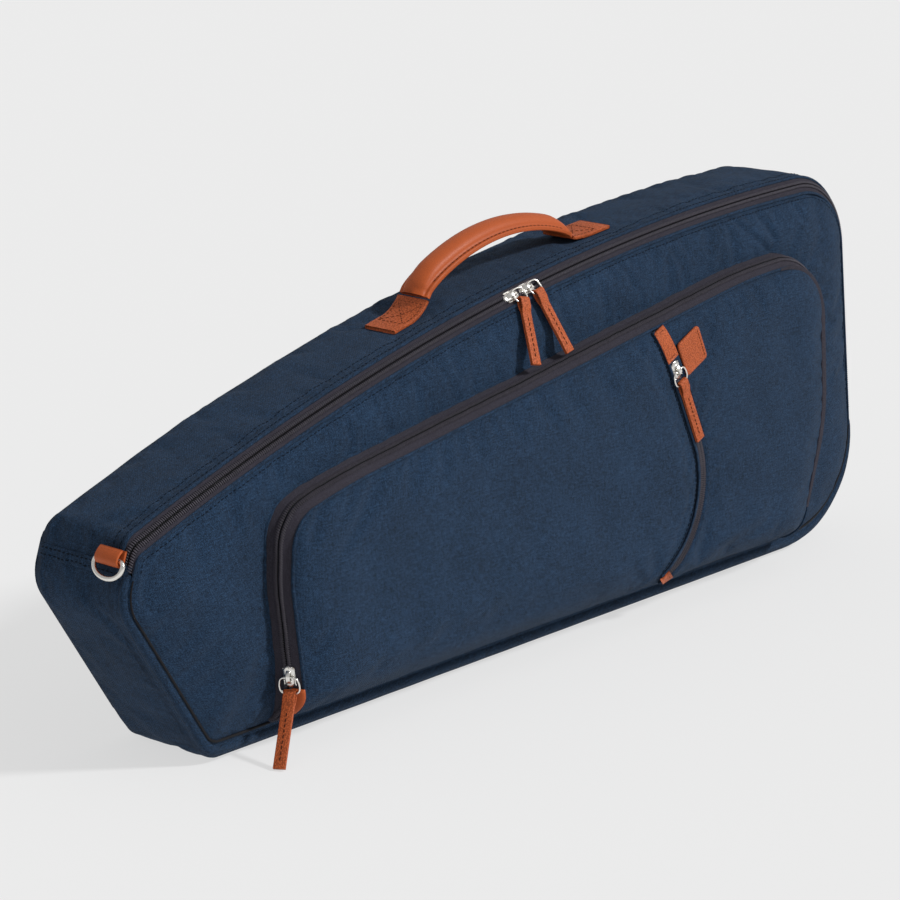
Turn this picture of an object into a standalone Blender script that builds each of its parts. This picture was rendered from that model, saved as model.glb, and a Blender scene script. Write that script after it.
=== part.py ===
"""Padded gig bag: navy woven shell, leather trims, coil zips and nickel fittings.

Bag frame, in metres: X runs along the bag to its wide end, Y runs from the front seam plane
(y = 0) to the back, Z is up from the surface it stands on. BAG_ORIGIN moves that frame so that the
origin is under the centre of the whole bag.
"""
import math

import bmesh
import bpy
from mathutils import Matrix, Vector

# Bag shell.
BAG_ORIGIN = Vector((0.0018, -0.0243, 0.0))
DEPTH = 0.085                 # front seam plane to back seam plane
FABRIC = 0.0013               # woven shell cloth with its backing
FOAM = 0.007                  # padding in every wall
LINING = 0.001
GAP = 0.0004                  # between pieces that touch
FOAM_GAP = 0.0012             # under the crowned front panel
EDGE_DEPTH = 0.0095           # how far back the rounded edge reaches

# Side outline of the shell: corners (x, z, radius) and the arc of the top edge.
HEEL = (-0.308, 0.0, 0.016)
NARROW_TIP = (-0.386, 0.122, 0.03)
WIDE_FOOT = (0.396, 0.0, 0.08)
NARROW_TOP_SLOPE = Vector((-0.016, -0.046))      # narrow end, from its top corner to its tip
WIDE_SLOPE = Vector((-0.034, 0.287))             # wide end, from its foot to its top corner
TOP_CENTRE = Vector((0.314, -1.656))
TOP_RADIUS = 1.943
TOP_FROM_X = 0.29
TOP_TO_X = -0.35
NARROW_CORNER_RADIUS = 0.012
SHARED_CORNER_RADIUS = 0.006
SHARED_CORNER_ROOM = 0.012
WIDE_CORNER_RADIUS = 0.062
EDGE_INSET = {"bottom": 0.016, "wide": 0.0105, "top": 0.0105, "narrow": 0.004}

# Crowns: how far a padded panel stands out, by distance from its rim.
FRONT_CROWN = ((0.0, 0.0), (0.008, 0.0035), (0.02, 0.008), (0.04, 0.0115), (0.06, 0.0125))
BACK_CROWN = ((0.0, 0.0), (0.01, 0.002), (0.03, 0.004))
POCKET_BASE = 0.0128          # front face of the front panel, where the pocket is sewn on
POCKET_RIM = 0.0285           # front edge of the pocket's zip band
POCKET_CROWN = ((0.0, 0.0285), (0.006, 0.031), (0.018, 0.034), (0.04, 0.0358))
POCKET_LEAN = 0.008           # how far the pocket's zip band leans in
POCKET_RISE = 0.032           # height over which the pocket swells from the bottom seam
POCKET_LEAST = 0.2            # share of its depth that it has at the bottom seam

# Pocket outline: corners (x, z, radius). Its first POCKET_FOOT_POINTS points round the two feet.
POCKET_FOOT_POINTS = 5
POCKET_CORNERS = (
    (-0.262, 0.0205, 0.004),
    (0.283, 0.0205, 0.006),
    (0.310, 0.110, 0.15),
    (0.300, 0.2435, 0.055),
    (0.205, 0.2405, 0.5),
    (-0.215, 0.1765, 0.5),
    (-0.272, 0.1625, 0.034),
    (-0.2755, 0.115, 0.1),
)

# Zips.
ZIP_THICKNESS = 0.0008
TAPE_SHARE = 0.43             # of a zip band, on each side of its coils
COIL_GAP_SHARE = 0.03
MAIN_ZIP_LOW_Z = 0.092        # where the main zip stops on the wide end
NARROW_SEAM_Z = 0.146         # where the zip gusset meets the lower gusset
PANEL_ZIP_TOP = Vector((0.0955, 0.2165))
PANEL_ZIP_TILT = math.radians(25.5)
PANEL_ZIP_STRAIGHT = 0.0975
PANEL_ZIP_RADIUS = 0.071
PANEL_ZIP_TURN = math.radians(75)
PANEL_ZIP_TAIL = 0.030
PANEL_ZIP_WIDTH = 0.010
PANEL_COIL_HALF = 0.0009      # closed coils, each side of the zip's middle
PANEL_TAPE_FROM = 0.0013      # inner edge of each tape, from the zip's middle
PANEL_ZIP_HIDDEN = 0.012      # length of the zip under each end tab
PANEL_ZIP_SINK = 0.0004
END_TAB_HALF = 0.0062
TOP_TAB_SPAN = (0.003, 0.0265)
BOTTOM_TAB_SPAN = (0.011, 0.002)      # back from the end of the zip
TAB_THICKNESS = 0.0014
LABEL_SIZE = (0.025, 0.0275, 0.0022)
LABEL_AT = 0.0335             # middle of the label, along the zip
LABEL_OFFSET = 0.008          # from the zip's middle to the label's near edge
POUCH_X = (0.03, 0.27)
POUCH_Z = (0.045, 0.195)
POUCH_DEPTH = 0.0262

# Sliders, bails and pulls.
SLIDER_LENGTH = 0.015
SLIDER_WIDTH = 0.0084
SLIDER_PLATE = 0.0016
PANEL_SLIDER_AT = 0.0355      # along the curved zip
POCKET_SLIDER_SEAT = (-0.2626, 0.0525)
POCKET_SLIDER_WAY = Vector((-0.143, 0, 1))
POCKET_SLIDER_NORMAL = Vector((-0.90, -0.43, -0.1287))
BRIDGE_WIDTH = 0.0028
BRIDGE = ((-0.0042, 0.0010), (0.0038, 0.0010), (0.0036, 0.0030), (0.0026, 0.0044),
          (-0.0022, 0.0047), (-0.0039, 0.0034))
BRIDGE_HOLE = ((-0.0022, 0.0023), (0.0020, 0.0023), (0.0020, 0.0032), (0.0012, 0.0038),
               (-0.0014, 0.0039), (-0.0022, 0.0033))
CROWN_HEIGHT = 0.0031         # centre of the bail's bar above the zip
BAIL_WIRE = 0.00065
BAIL_WIDTH = 0.0138
BAIL_LENGTH = 0.0108
MAIN_BAIL_BACK = 0.0028       # how far a main bail reaches behind its zip
BAIL_CORNER = 0.0012
PULL_WIDTH = 0.0082
PULL_LENGTH = 0.050
MAIN_PULL_LENGTH = 0.046
PULL_THICKNESS = 0.0024
PULL_SKIN = 0.0009            # leather round the eye
PULL_EYE = 0.0013
PULL_SLOT = 0.0056
POCKET_PULL_LEAN = math.radians(44)      # its tip rests on the floor
PULL_SEAT = 0.5               # where each main pull hangs along its bail's leg
MAIN_SLIDER_X = {"left": -0.0205, "right": -0.0045}
PULL_LEAN = math.radians(27)
PULL_SLANT = {"left": 0.0, "right": math.radians(11.5)}
PULL_SLACK = {"left": 0.0003, "right": 0.0005}      # eye above a bail that isn't square to it

# Handle, on the middle of the top gusset.
HANDLE_Y = 0.039
STRAP_WIDTH = 0.027
STRAP_THICKNESS = 0.0026
PATCH_X = {"left": (-0.1125, -0.079), "right": (0.081, 0.1115)}
GRIP_FROM_X = -0.0785
GRIP_TO_X = 0.0805
GRIP_RISE = 0.0257
GRIP_CLEAR = 0.0085
GRIP_THICKNESS = 0.0105
CORE_WIDTH = 0.018
CORE_THICKNESS = 0.0045

# Strap rings.
RING_WIRE = 0.0016
RING_HALF = 0.0138
RING_DROP = 0.0115
RING_SEAT = 0.005             # ring's bar above the cloth
RING_BAR_SHORT = 0.002        # from each end of the bar to the bow
LOOP_WIDTH = 0.0226
LOOP_LENGTH = 0.0085
LOOP_SKIN = 0.0018
NARROW_RING_Y = 0.0145
WIDE_RING_Z = 0.19


# ---------------------------------------------------------------- materials and objects

def clear_scene():
    """Start from an empty scene."""
    for item in list(bpy.data.objects):
        bpy.data.objects.remove(item, do_unlink=True)


def make_material(name, colour, roughness, metallic=0.0):
    """A plain Principled material."""
    item = bpy.data.materials.new(name)
    item.use_nodes = True
    shader = item.node_tree.nodes["Principled BSDF"]
    shader.inputs["Base Color"].default_value = (*colour, 1.0)
    shader.inputs["Roughness"].default_value = roughness
    shader.inputs["Metallic"].default_value = metallic
    return item


def make_materials():
    """Every finish on the bag."""
    return {
        "navy_cloth": make_material("navy_cloth", (0.028, 0.048, 0.088), 0.9),
        "lining_cloth": make_material("lining_cloth", (0.05, 0.05, 0.055), 0.85),
        "foam": make_material("foam", (0.30, 0.30, 0.31), 0.95),
        "zip_tape": make_material("zip_tape", (0.055, 0.045, 0.055), 0.8),
        "zip_coil": make_material("zip_coil", (0.03, 0.028, 0.034), 0.4),
        "tan_leather": make_material("tan_leather", (0.42, 0.11, 0.035), 0.55),
        "grip_leather": make_material("grip_leather", (0.40, 0.12, 0.04), 0.45),
        "nickel": make_material("nickel", (0.78, 0.76, 0.72), 0.2, 1.0),
    }


class Bag:
    """Keeps the collection, the materials and the joint empties together."""

    def __init__(self):
        self.materials = make_materials()
        self.parts = bpy.data.collections.new("padded_gig_bag")
        self.cutters = bpy.data.collections.new("cutters")
        for group in (self.parts, self.cutters):
            bpy.context.scene.collection.children.link(group)
        self.places = {}
        self.empties = {}
        self.add_empty("bag", None, Vector((0, 0, 0)))
        self.empties["bag"].location = BAG_ORIGIN

    def add_empty(self, name, parent, place):
        """An empty on a joint's axis, which the pieces that turn there hang from."""
        empty = bpy.data.objects.new(name + "_axis", None)
        empty.empty_display_size = 0.02
        self.parts.objects.link(empty)
        self.empties[name] = empty
        self.places[name] = place
        if parent:
            empty.parent = self.empties[parent]
            empty.location = place - self.places[parent]

    def add(self, name, data, finish, joint="bag", frame=Matrix()):
        """Put a mesh or curve, drawn in the bag frame or in frame, on a joint's empty."""
        piece = bpy.data.objects.new(name, data)
        data.materials.clear()
        data.materials.append(self.materials[finish])
        piece.parent = self.empties[joint]
        piece.matrix_basis = Matrix.Translation(-self.places[joint]) @ frame
        self.parts.objects.link(piece)
        return piece

    def add_cutter(self, name, mesh, joint="bag"):
        """A solid that only cuts others."""
        cutter = self.add(name, mesh, "foam", joint)
        self.parts.objects.unlink(cutter)
        self.cutters.objects.link(cutter)
        cutter.hide_render = True
        cutter.display_type = "WIRE"
        return cutter


# ---------------------------------------------------------------- outlines

def cross_lines(first, second):
    """Where two lines, each (point, direction), meet."""
    (p, u), (q, v) = first, second
    step = (q - p).x * v.y - (q - p).y * v.x
    return p + u * (step / (u.x * v.y - u.y * v.x))


def round_corner(before, corner, after, radius, steps):
    """Points along the arc that rounds a corner."""
    a = (before - corner).normalized()
    b = (after - corner).normalized()
    half = a.angle(b) / 2
    reach = radius / math.tan(half)
    centre = corner + (a + b).normalized() * (radius / math.sin(half))
    start = corner + a * reach - centre
    end = corner + b * reach - centre
    sweep = math.atan2(start.x * end.y - start.y * end.x, start.dot(end))
    turned = []
    for step in range(steps + 1):
        angle = sweep * step / steps
        c, s = math.cos(angle), math.sin(angle)
        turned.append(centre + Vector((c * start.x - s * start.y, s * start.x + c * start.y)))
    return turned


def shift_line(line, inset):
    """Move a line of an anticlockwise outline inwards."""
    point, along = line
    inward = Vector((-along.y, along.x)).normalized()
    return point + inward * inset, along


def shell_outline(edge=0.0, inset=0.0):
    """The bag's side outline, anticlockwise from the heel, as a dict of stretches.

    edge runs from 0, the outermost line, to 1, the seam line of the front or back panel.
    inset moves every side inwards by the same amount.
    """
    sides = {side: edge * amount + inset for side, amount in EDGE_INSET.items()}
    heel, tip, foot = (Vector(corner[:2]) for corner in (HEEL, NARROW_TIP, WIDE_FOOT))
    radius = TOP_RADIUS - sides["top"]
    start = math.acos((TOP_FROM_X - TOP_CENTRE.x) / TOP_RADIUS)
    end = math.acos((TOP_TO_X - TOP_CENTRE.x) / TOP_RADIUS)
    steps = 12
    arc = []
    for step in range(steps + 1):
        angle = start + (end - start) * step / steps
        arc.append(TOP_CENTRE + radius * Vector((math.cos(angle), math.sin(angle))))
    bottom = shift_line((heel, foot - heel), sides["bottom"])
    wide = shift_line((foot, WIDE_SLOPE), sides["wide"])
    upper = shift_line((tip, NARROW_TOP_SLOPE), sides["narrow"])
    lower = shift_line((tip, heel - tip), sides["narrow"])
    top_right = (arc[0], Vector((-math.sin(start), math.cos(start))))
    top_left = (arc[-1], Vector((-math.sin(end), math.cos(end))))
    a = cross_lines(bottom, lower)
    f = cross_lines(bottom, wide)
    d = cross_lines(wide, top_right)
    c = cross_lines(top_left, upper)
    b = cross_lines(upper, lower)

    def rounded(before, corner, after, full_radius, count, side):
        return round_corner(before, corner, after, max(full_radius - sides[side], 0.003), count)

    shoulder = rounded(arc[-1], c, b, NARROW_CORNER_RADIUS, 3, "narrow")
    tip = rounded(c, b, a, NARROW_TIP[2], 4, "narrow")
    if shoulder[-1].y < tip[0].y:
        arc, shoulder, tip = shared_corner(arc, radius, lower, a)

    return {
        "heel": rounded(b, a, f, HEEL[2], 4, "narrow"),
        "foot": rounded(a, f, d, WIDE_FOOT[2], 8, "wide"),
        "crown": rounded(f, d, arc[0], WIDE_CORNER_RADIUS, 6, "wide"),
        "top": arc[1:-1],
        "shoulder": shoulder,
        "tip": tip,
    }


def shared_corner(arc, radius, lower, heel):
    """The top arc and the narrow end's one corner, far enough in that its upper wall is gone."""
    last = arc[-1]
    for _ in range(3):
        spoke = (last - TOP_CENTRE).normalized()
        corner = cross_lines((last, Vector((-spoke.y, spoke.x))), lower)
        x = corner.x + SHARED_CORNER_ROOM
        last = Vector((x, TOP_CENTRE.y + math.sqrt(radius ** 2 - (x - TOP_CENTRE.x) ** 2)))
    start = math.atan2(arc[0].y - TOP_CENTRE.y, arc[0].x - TOP_CENTRE.x)
    end = math.atan2(last.y - TOP_CENTRE.y, last.x - TOP_CENTRE.x)
    line = []
    for step in range(len(arc)):
        angle = between(start, end, step / (len(arc) - 1))
        line.append(TOP_CENTRE + radius * Vector((math.cos(angle), math.sin(angle))))
    points = round_corner(last, corner, heel, SHARED_CORNER_RADIUS, 8)
    return line, points[:4], points[4:]


def closed_outline(edge=0.0, inset=0.0):
    """All of the shell's outline as one list."""
    return [point for stretch in shell_outline(edge, inset).values() for point in stretch]


def between(low, high, share):
    """A point part of the way from low to high."""
    return low + (high - low) * share


def point_at_height(low, high, z):
    """The point at height z on the line through low and high."""
    return between(low, high, (z - low.y) / (high.y - low.y))


def top_wall(edge, inset=0.0):
    """Top gusset line: from the middle of the wide corner to the seam at the narrow end."""
    line = shell_outline(edge, inset)
    seam = point_at_height(line["shoulder"][-1], line["tip"][0], NARROW_SEAM_Z)
    return line["crown"][3:] + line["top"] + line["shoulder"] + [seam]


def wide_wall(edge, inset=0.0):
    """Wide end line: from the middle of the foot to the middle of the wide corner."""
    line = shell_outline(edge, inset)
    foot, crown = line["foot"][4:], line["crown"][:4]
    stop = point_at_height(foot[-1], crown[0], MAIN_ZIP_LOW_Z)
    return foot + [stop] + crown


def bottom_wall(edge, inset=0.0):
    """Bottom line: from the heel to the middle of the foot."""
    line = shell_outline(edge, inset)
    middle = between(line["heel"][-1], line["foot"][0], 0.5)
    return [line["heel"][-1], middle] + line["foot"][:5]


def narrow_wall(edge, inset=0.0):
    """Narrow end line: from the seam to the heel."""
    line = shell_outline(edge, inset)
    seam = point_at_height(line["shoulder"][-1], line["tip"][0], NARROW_SEAM_Z)
    return [seam] + line["tip"] + line["heel"]


def zip_line(edge, inset=0.0):
    """Line of the main zip: up the wide end, round the corner and along the top."""
    line = shell_outline(edge, inset)
    stop = point_at_height(line["foot"][-1], line["crown"][0], MAIN_ZIP_LOW_Z)
    seam = point_at_height(line["shoulder"][-1], line["tip"][0], NARROW_SEAM_Z + 0.001)
    return [stop] + line["crown"] + line["top"] + line["shoulder"] + [seam]


def pocket_outline(inset=0.0):
    """The pocket's outline, anticlockwise from its lower left corner."""
    corners = [Vector(corner[:2]) for corner in POCKET_CORNERS]
    count = len(corners)
    lines = []
    for index, corner in enumerate(corners):
        along = corners[(index + 1) % count] - corner
        lines.append(shift_line((corner, along), 0.0 if index == 0 else inset))      # 0: bottom
    moved = [cross_lines(lines[index - 1], lines[index]) for index in range(count)]
    points = []
    for index, corner in enumerate(moved):
        full_radius = POCKET_CORNERS[index][2]
        steps = 3 if full_radius > 0.09 else 6 if full_radius > 0.02 else 2
        after = moved[(index + 1) % count]
        radius = max(full_radius - inset, 0.002)
        points += round_corner(moved[index - 1], corner, after, radius, steps)
    return points


def pocket_sides(inset=0.0):
    """The pocket's outline without its bottom: up the right side, over the top, down the left."""
    points = pocket_outline(inset)
    return resample(points[POCKET_FOOT_POINTS:] + points[:1], 58)


def rim_distance(point, line):
    """Distance from a point to a line of points."""
    best = 1.0
    for start, end in zip(line, line[1:]):
        side = end - start
        share = max(0.0, min(1.0, (point - start).dot(side) / side.length_squared))
        best = min(best, (point - start - side * share).length)
    return best


def resample(points, count):
    """Evenly spaced points along a line of points."""
    lengths = [0.0]
    for start, end in zip(points, points[1:]):
        lengths.append(lengths[-1] + (end - start).length)
    result = []
    index = 0
    for step in range(count + 1):
        want = lengths[-1] * step / count
        while index < len(points) - 2 and lengths[index + 1] < want:
            index += 1
        share = (want - lengths[index]) / (lengths[index + 1] - lengths[index])
        result.append(between(points[index], points[index + 1], share))
    return result


def crown_at(profile, distance):
    """Height of a crowned panel at a distance from its rim."""
    for (near, low), (far, high) in zip(profile, profile[1:]):
        if distance <= far:
            return low + (high - low) * (distance - near) / (far - near)
    return profile[-1][1]


# ---------------------------------------------------------------- solids

def place(points, y):
    """Outline points (x, z) at depth y."""
    return [Vector((point.x, y, point.y)) for point in points]


def finish_mesh(name, shape):
    """Turn a bmesh into a mesh with its faces pointing out."""
    bmesh.ops.recalc_face_normals(shape, faces=shape.faces)
    mesh = bpy.data.meshes.new(name)
    shape.to_mesh(mesh)
    shape.free()
    return mesh


def slab(name, outer, inner):
    """A sheet between two grids of points that have the same rows and columns."""
    shape = bmesh.new()
    top = [[shape.verts.new(point) for point in row] for row in outer]
    low = [[shape.verts.new(point) for point in row] for row in inner]
    for grid in (top, low):
        for row, after in zip(grid, grid[1:]):
            for index in range(len(row) - 1):
                shape.faces.new((row[index], row[index + 1], after[index + 1], after[index]))
    rims = [(top[0], low[0]), (top[-1], low[-1])]
    rims += [([row[end] for row in top], [row[end] for row in low]) for end in (0, -1)]
    for line, mate in rims:
        for index in range(len(line) - 1):
            shape.faces.new((line[index], line[index + 1], mate[index + 1], mate[index]))
    return finish_mesh(name, shape)


def ring_stack(name, rings, closed=False):
    """A loft through rings of equal length, capped at both ends or closed on itself."""
    shape = bmesh.new()
    loops = [[shape.verts.new(point) for point in ring] for ring in rings]
    pairs = list(zip(loops, loops[1:]))
    if closed:
        pairs.append((loops[-1], loops[0]))
    else:
        shape.faces.new(loops[0])
        shape.faces.new(loops[-1])
    for ring, after in pairs:
        for index in range(len(ring)):
            follow = (index + 1) % len(ring)
            shape.faces.new((ring[index], ring[follow], after[follow], after[index]))
    return finish_mesh(name, shape)


def crowned_panel(name, outline, profile, thickness, y, facing):
    """A cloth panel that stands out from its rim by profile.

    outline(inset) gives its rings, facing is -1 for a front panel and 1 for a back one.
    """
    outer = [place(outline(inset), y + facing * rise) for inset, rise in profile]
    inner = []
    for step, (inset, rise) in enumerate(profile):
        drop = thickness if step else 0.0
        extra = 0.0 if step else thickness
        inner.append(place(outline(inset + extra), y + facing * (rise - drop)))
    return ring_stack(name, inner[::-1] + outer)


def flat_panel(name, points, front, back):
    """A flat plate with an outline in XZ."""
    return ring_stack(name, [place(points, front), place(points, back)])


def prism(name, outline, thickness, hole=None):
    """A flat outline, and the hole in it, as a filled curve in its own XY plane."""
    curve = bpy.data.curves.new(name, "CURVE")
    curve.dimensions = "2D"
    curve.fill_mode = "BOTH"
    curve.extrude = thickness / 2
    for points in (outline, hole):
        if points:
            spline = curve.splines.new("POLY")
            spline.points.add(len(points) - 1)
            for knot, (x, y) in zip(spline.points, points):
                knot.co = (x, y, 0, 1)
            spline.use_cyclic_u = True
    return curve


def wire_ring(name, points, radius):
    """A closed loop of wire."""
    curve = bpy.data.curves.new(name, "CURVE")
    curve.dimensions = "3D"
    curve.bevel_depth = radius
    curve.bevel_resolution = 2
    spline = curve.splines.new("POLY")
    spline.points.add(len(points) - 1)
    for knot, point in zip(spline.points, points):
        knot.co = (*point, 1)
    spline.use_cyclic_u = True
    return curve


def solid_from(curve):
    """The closed mesh of a curve, with its caps welded."""
    holder = bpy.data.objects.new(curve.name + "_curve", curve)
    bpy.context.scene.collection.objects.link(holder)
    view = bpy.context.evaluated_depsgraph_get()
    mesh = bpy.data.meshes.new_from_object(holder.evaluated_get(view))
    bpy.data.objects.remove(holder, do_unlink=True)
    shape = bmesh.new()
    shape.from_mesh(mesh)
    bmesh.ops.remove_doubles(shape, verts=shape.verts, dist=0.00001)
    shape.to_mesh(mesh)
    shape.free()
    return mesh


def boolean(piece, cutter, operation, solver="EXACT"):
    """Add a Boolean modifier."""
    step = piece.modifiers.new(operation.lower(), "BOOLEAN")
    step.operation = operation
    step.solver = solver
    step.object = cutter


def local_frame(origin, along, normal):
    """A frame with X along, Z along the normal and Y across."""
    across = normal.cross(along).normalized()
    frame = Matrix((along.normalized(), across, normal.normalized())).transposed().to_4x4()
    frame.translation = origin
    return frame


# ---------------------------------------------------------------- shell

def gusset_rows(zipped):
    """Depths and edge shares of a gusset wall's rows, front to back."""
    front = [(EDGE_DEPTH + GAP, 0.0)] if zipped else [(GAP, 1.0), (0.003, 0.4), (EDGE_DEPTH, 0.0)]
    back = [(EDGE_DEPTH, 0.0), (0.003, 0.4), (GAP, 1.0)]
    return front + [(DEPTH - y, edge) for y, edge in back]


def wall_slab(name, wall, rows, outside, thickness):
    """A gusset layer: wall(edge, inset) gives its line at each row."""
    outer = [place(wall(edge, outside), y) for y, edge in rows]
    inner = [place(wall(edge, outside + thickness), y) for y, edge in rows]
    return slab(name, outer, inner)


def trimmed(wall):
    """The same wall line with its two ends pulled in by a gap, so that walls don't touch."""
    def line(edge, inset=0.0):
        points = wall(edge, inset)
        first = points[0] + (points[1] - points[0]).normalized() * GAP
        last = points[-1] + (points[-2] - points[-1]).normalized() * GAP
        return [first] + points[1:-1] + [last]
    return line


def add_gusset(bag):
    """The four walls between front and back: cloth outside, foam inside."""
    walls = {"top": top_wall, "wide_end": wide_wall, "bottom": bottom_wall, "narrow_end": narrow_wall}
    foam_from = EDGE_DEPTH + 0.002
    for side, wall in walls.items():
        rows = gusset_rows(zipped=side in ("top", "wide_end"))
        mesh = wall_slab(side + "_gusset", trimmed(wall), rows, 0.0, FABRIC)
        bag.add(side + "_gusset", mesh, "navy_cloth")
        rows = [(foam_from, 0.0), (DEPTH - foam_from, 0.0)]
        mesh = wall_slab(side + "_foam", trimmed(wall), rows, FABRIC + GAP, FOAM)
        bag.add(side + "_foam", mesh, "foam")


def add_gusset_lining(bag):
    """The lining sleeve inside the four walls."""
    inset = FABRIC + GAP + FOAM + GAP
    front, back = EDGE_DEPTH + 0.002, DEPTH - 0.002 - LINING
    outer = closed_outline(0.0, inset)
    inner = closed_outline(0.0, inset + LINING)
    rings = [place(outer, front), place(outer, back), place(inner, back), place(inner, front)]
    bag.add("gusset_lining", ring_stack("gusset_lining", rings, closed=True), "lining_cloth")


def add_back(bag):
    """Back panel: cloth, foam and lining."""
    def outline(inset):
        return closed_outline(1.0, inset + GAP)
    mesh = crowned_panel("back_panel", outline, BACK_CROWN, FABRIC, DEPTH, 1)
    bag.add("back_panel", mesh, "navy_cloth")
    inner = DEPTH + BACK_CROWN[-1][1] - FABRIC - GAP
    room = closed_outline(1.0, BACK_CROWN[-1][0])
    mesh = flat_panel("back_foam", room, DEPTH + GAP, inner)
    bag.add("back_foam", mesh, "foam")
    mesh = flat_panel("back_lining", closed_outline(1.0, 0.0045), DEPTH - LINING, DEPTH)
    bag.add("back_lining", mesh, "lining_cloth")


def add_front(bag):
    """Front panel, which is the lid: cloth, foam and lining."""
    def outline(inset):
        return closed_outline(1.0, inset + GAP)
    mesh = crowned_panel("front_panel", outline, FRONT_CROWN, FABRIC, 0.0, -1)
    bag.add("front_panel", mesh, "navy_cloth", "lid")
    rings = []
    for inset, rise in FRONT_CROWN[2:]:
        rings.append(place(closed_outline(1.0, inset), FABRIC + FOAM_GAP - rise))
    rings.insert(0, place(closed_outline(1.0, FRONT_CROWN[2][0]), -GAP))
    bag.add("front_foam", ring_stack("front_foam", rings), "foam", "lid")
    mesh = flat_panel("front_lining", closed_outline(1.0, 0.0035), 0.0, LINING)
    bag.add("front_lining", mesh, "lining_cloth", "lid")


# ---------------------------------------------------------------- zips

def band_shares():
    """The four strips of a zip band, from its far edge to its near edge."""
    coil = (1.0 - COIL_GAP_SHARE) / 2
    return {
        "far_tape": (0.02, TAPE_SHARE),
        "far_coil": (TAPE_SHARE + 0.02, coil),
        "near_coil": (1.0 - coil, 0.98 - TAPE_SHARE),
        "near_tape": (1.0 - TAPE_SHARE, 0.98),
    }


def add_main_zip(bag):
    """Both tapes and both coils of the main zip, on the slope between gusset and lid."""
    names = {
        "far_tape": ("main_zip_body_tape", "zip_tape", "bag"),
        "far_coil": ("main_zip_body_coil", "zip_coil", "bag"),
        "near_coil": ("main_zip_lid_coil", "zip_coil", "lid"),
        "near_tape": ("main_zip_lid_tape", "zip_tape", "lid"),
    }
    for strip, shares in band_shares().items():
        name, finish, joint = names[strip]
        outer = [place(zip_line(share), EDGE_DEPTH * (1 - share)) for share in shares]
        inner = [place(zip_line(share, ZIP_THICKNESS), EDGE_DEPTH * (1 - share) + ZIP_THICKNESS / 2)
                 for share in shares]
        bag.add(name, slab(name, outer, inner), finish, joint)


def pocket_rise(z):
    """Share of its depth that the pocket has at height z, swelling up from the bottom seam."""
    climb = max(0.0, min(1.0, (z - POCKET_CORNERS[0][1]) / POCKET_RISE))
    return POCKET_LEAST + (1 - POCKET_LEAST) * math.sin(climb * math.pi / 2)


def base_depth(point):
    """Depth of the front panel's outer face under the pocket."""
    outline = closed_outline(1.0)
    return crown_at(FRONT_CROWN, rim_distance(point, outline + outline[:1])) + 2 * GAP


def pocket_band(share, sink=0.0):
    """Line of the pocket's zip band at a share of its way from the front panel to the flap."""
    line = []
    for far, near in zip(pocket_sides(sink), pocket_sides(POCKET_LEAN + sink)):
        rise = pocket_rise(far.y)
        flat = between(far, near, rise * share)
        base = base_depth(far)
        depth = base + (POCKET_RIM - base) * rise * share
        line.append(Vector((flat.x, -depth, flat.y)))
    return line


def add_pocket_zip(bag):
    """Both tapes and both coils of the pocket's zip, which is also the pocket's wall."""
    names = {
        "far_tape": ("pocket_zip_outer_tape", "zip_tape", "lid"),
        "far_coil": ("pocket_zip_outer_coil", "zip_coil", "lid"),
        "near_coil": ("pocket_zip_flap_coil", "zip_coil", "flap"),
        "near_tape": ("pocket_zip_flap_tape", "zip_tape", "flap"),
    }
    for strip, shares in band_shares().items():
        name, finish, joint = names[strip]
        outer = [pocket_band(share) for share in shares]
        inner = [pocket_band(share, ZIP_THICKNESS) for share in shares]
        bag.add(name, slab(name, outer, inner), finish, joint)


def panel_zip_point(length, offset=0.0):
    """A point on the curved zip: length from its top end, offset to its right."""
    along = Vector((math.sin(PANEL_ZIP_TILT), -math.cos(PANEL_ZIP_TILT)))
    right = Vector((-along.y, along.x))
    if length <= PANEL_ZIP_STRAIGHT:
        return PANEL_ZIP_TOP + along * length + right * offset
    centre = PANEL_ZIP_TOP + along * PANEL_ZIP_STRAIGHT - right * PANEL_ZIP_RADIUS
    turn = min((length - PANEL_ZIP_STRAIGHT) / PANEL_ZIP_RADIUS, PANEL_ZIP_TURN)
    c, s = math.cos(-turn), math.sin(-turn)
    spoke = Vector((c * right.x - s * right.y, s * right.x + c * right.y))
    tail = max(0.0, length - PANEL_ZIP_STRAIGHT - PANEL_ZIP_RADIUS * PANEL_ZIP_TURN)
    return centre + spoke * (PANEL_ZIP_RADIUS + offset) + Vector((spoke.y, -spoke.x)) * tail


def panel_zip_length():
    """Length of the curved zip."""
    return PANEL_ZIP_STRAIGHT + PANEL_ZIP_RADIUS * PANEL_ZIP_TURN + PANEL_ZIP_TAIL


def flap_surface(point, lift=0.0):
    """The point on the flap's outer face over (x, z)."""
    full = crown_at(POCKET_CROWN, rim_distance(point, pocket_sides(POCKET_LEAN + GAP)))
    base = base_depth(point)
    depth = base + (full - base) * pocket_rise(point.y)
    return Vector((point.x, -depth - lift, point.y))


def strip_on_flap(name, span, left, right, sink, thickness):
    """A strip that follows the curved zip over a span of it, sunk into the flap."""
    start, end = span
    steps = max(2, round((end - start) / 0.009))
    outer, inner = [], []
    for step in range(steps + 1):
        length = between(start, end, step / steps)
        line = [panel_zip_point(length, offset) for offset in (left, right)]
        outer.append([flap_surface(point, -sink) for point in line])
        inner.append([flap_surface(point, -sink - thickness) for point in line])
    return slab(name, outer, inner)


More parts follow.
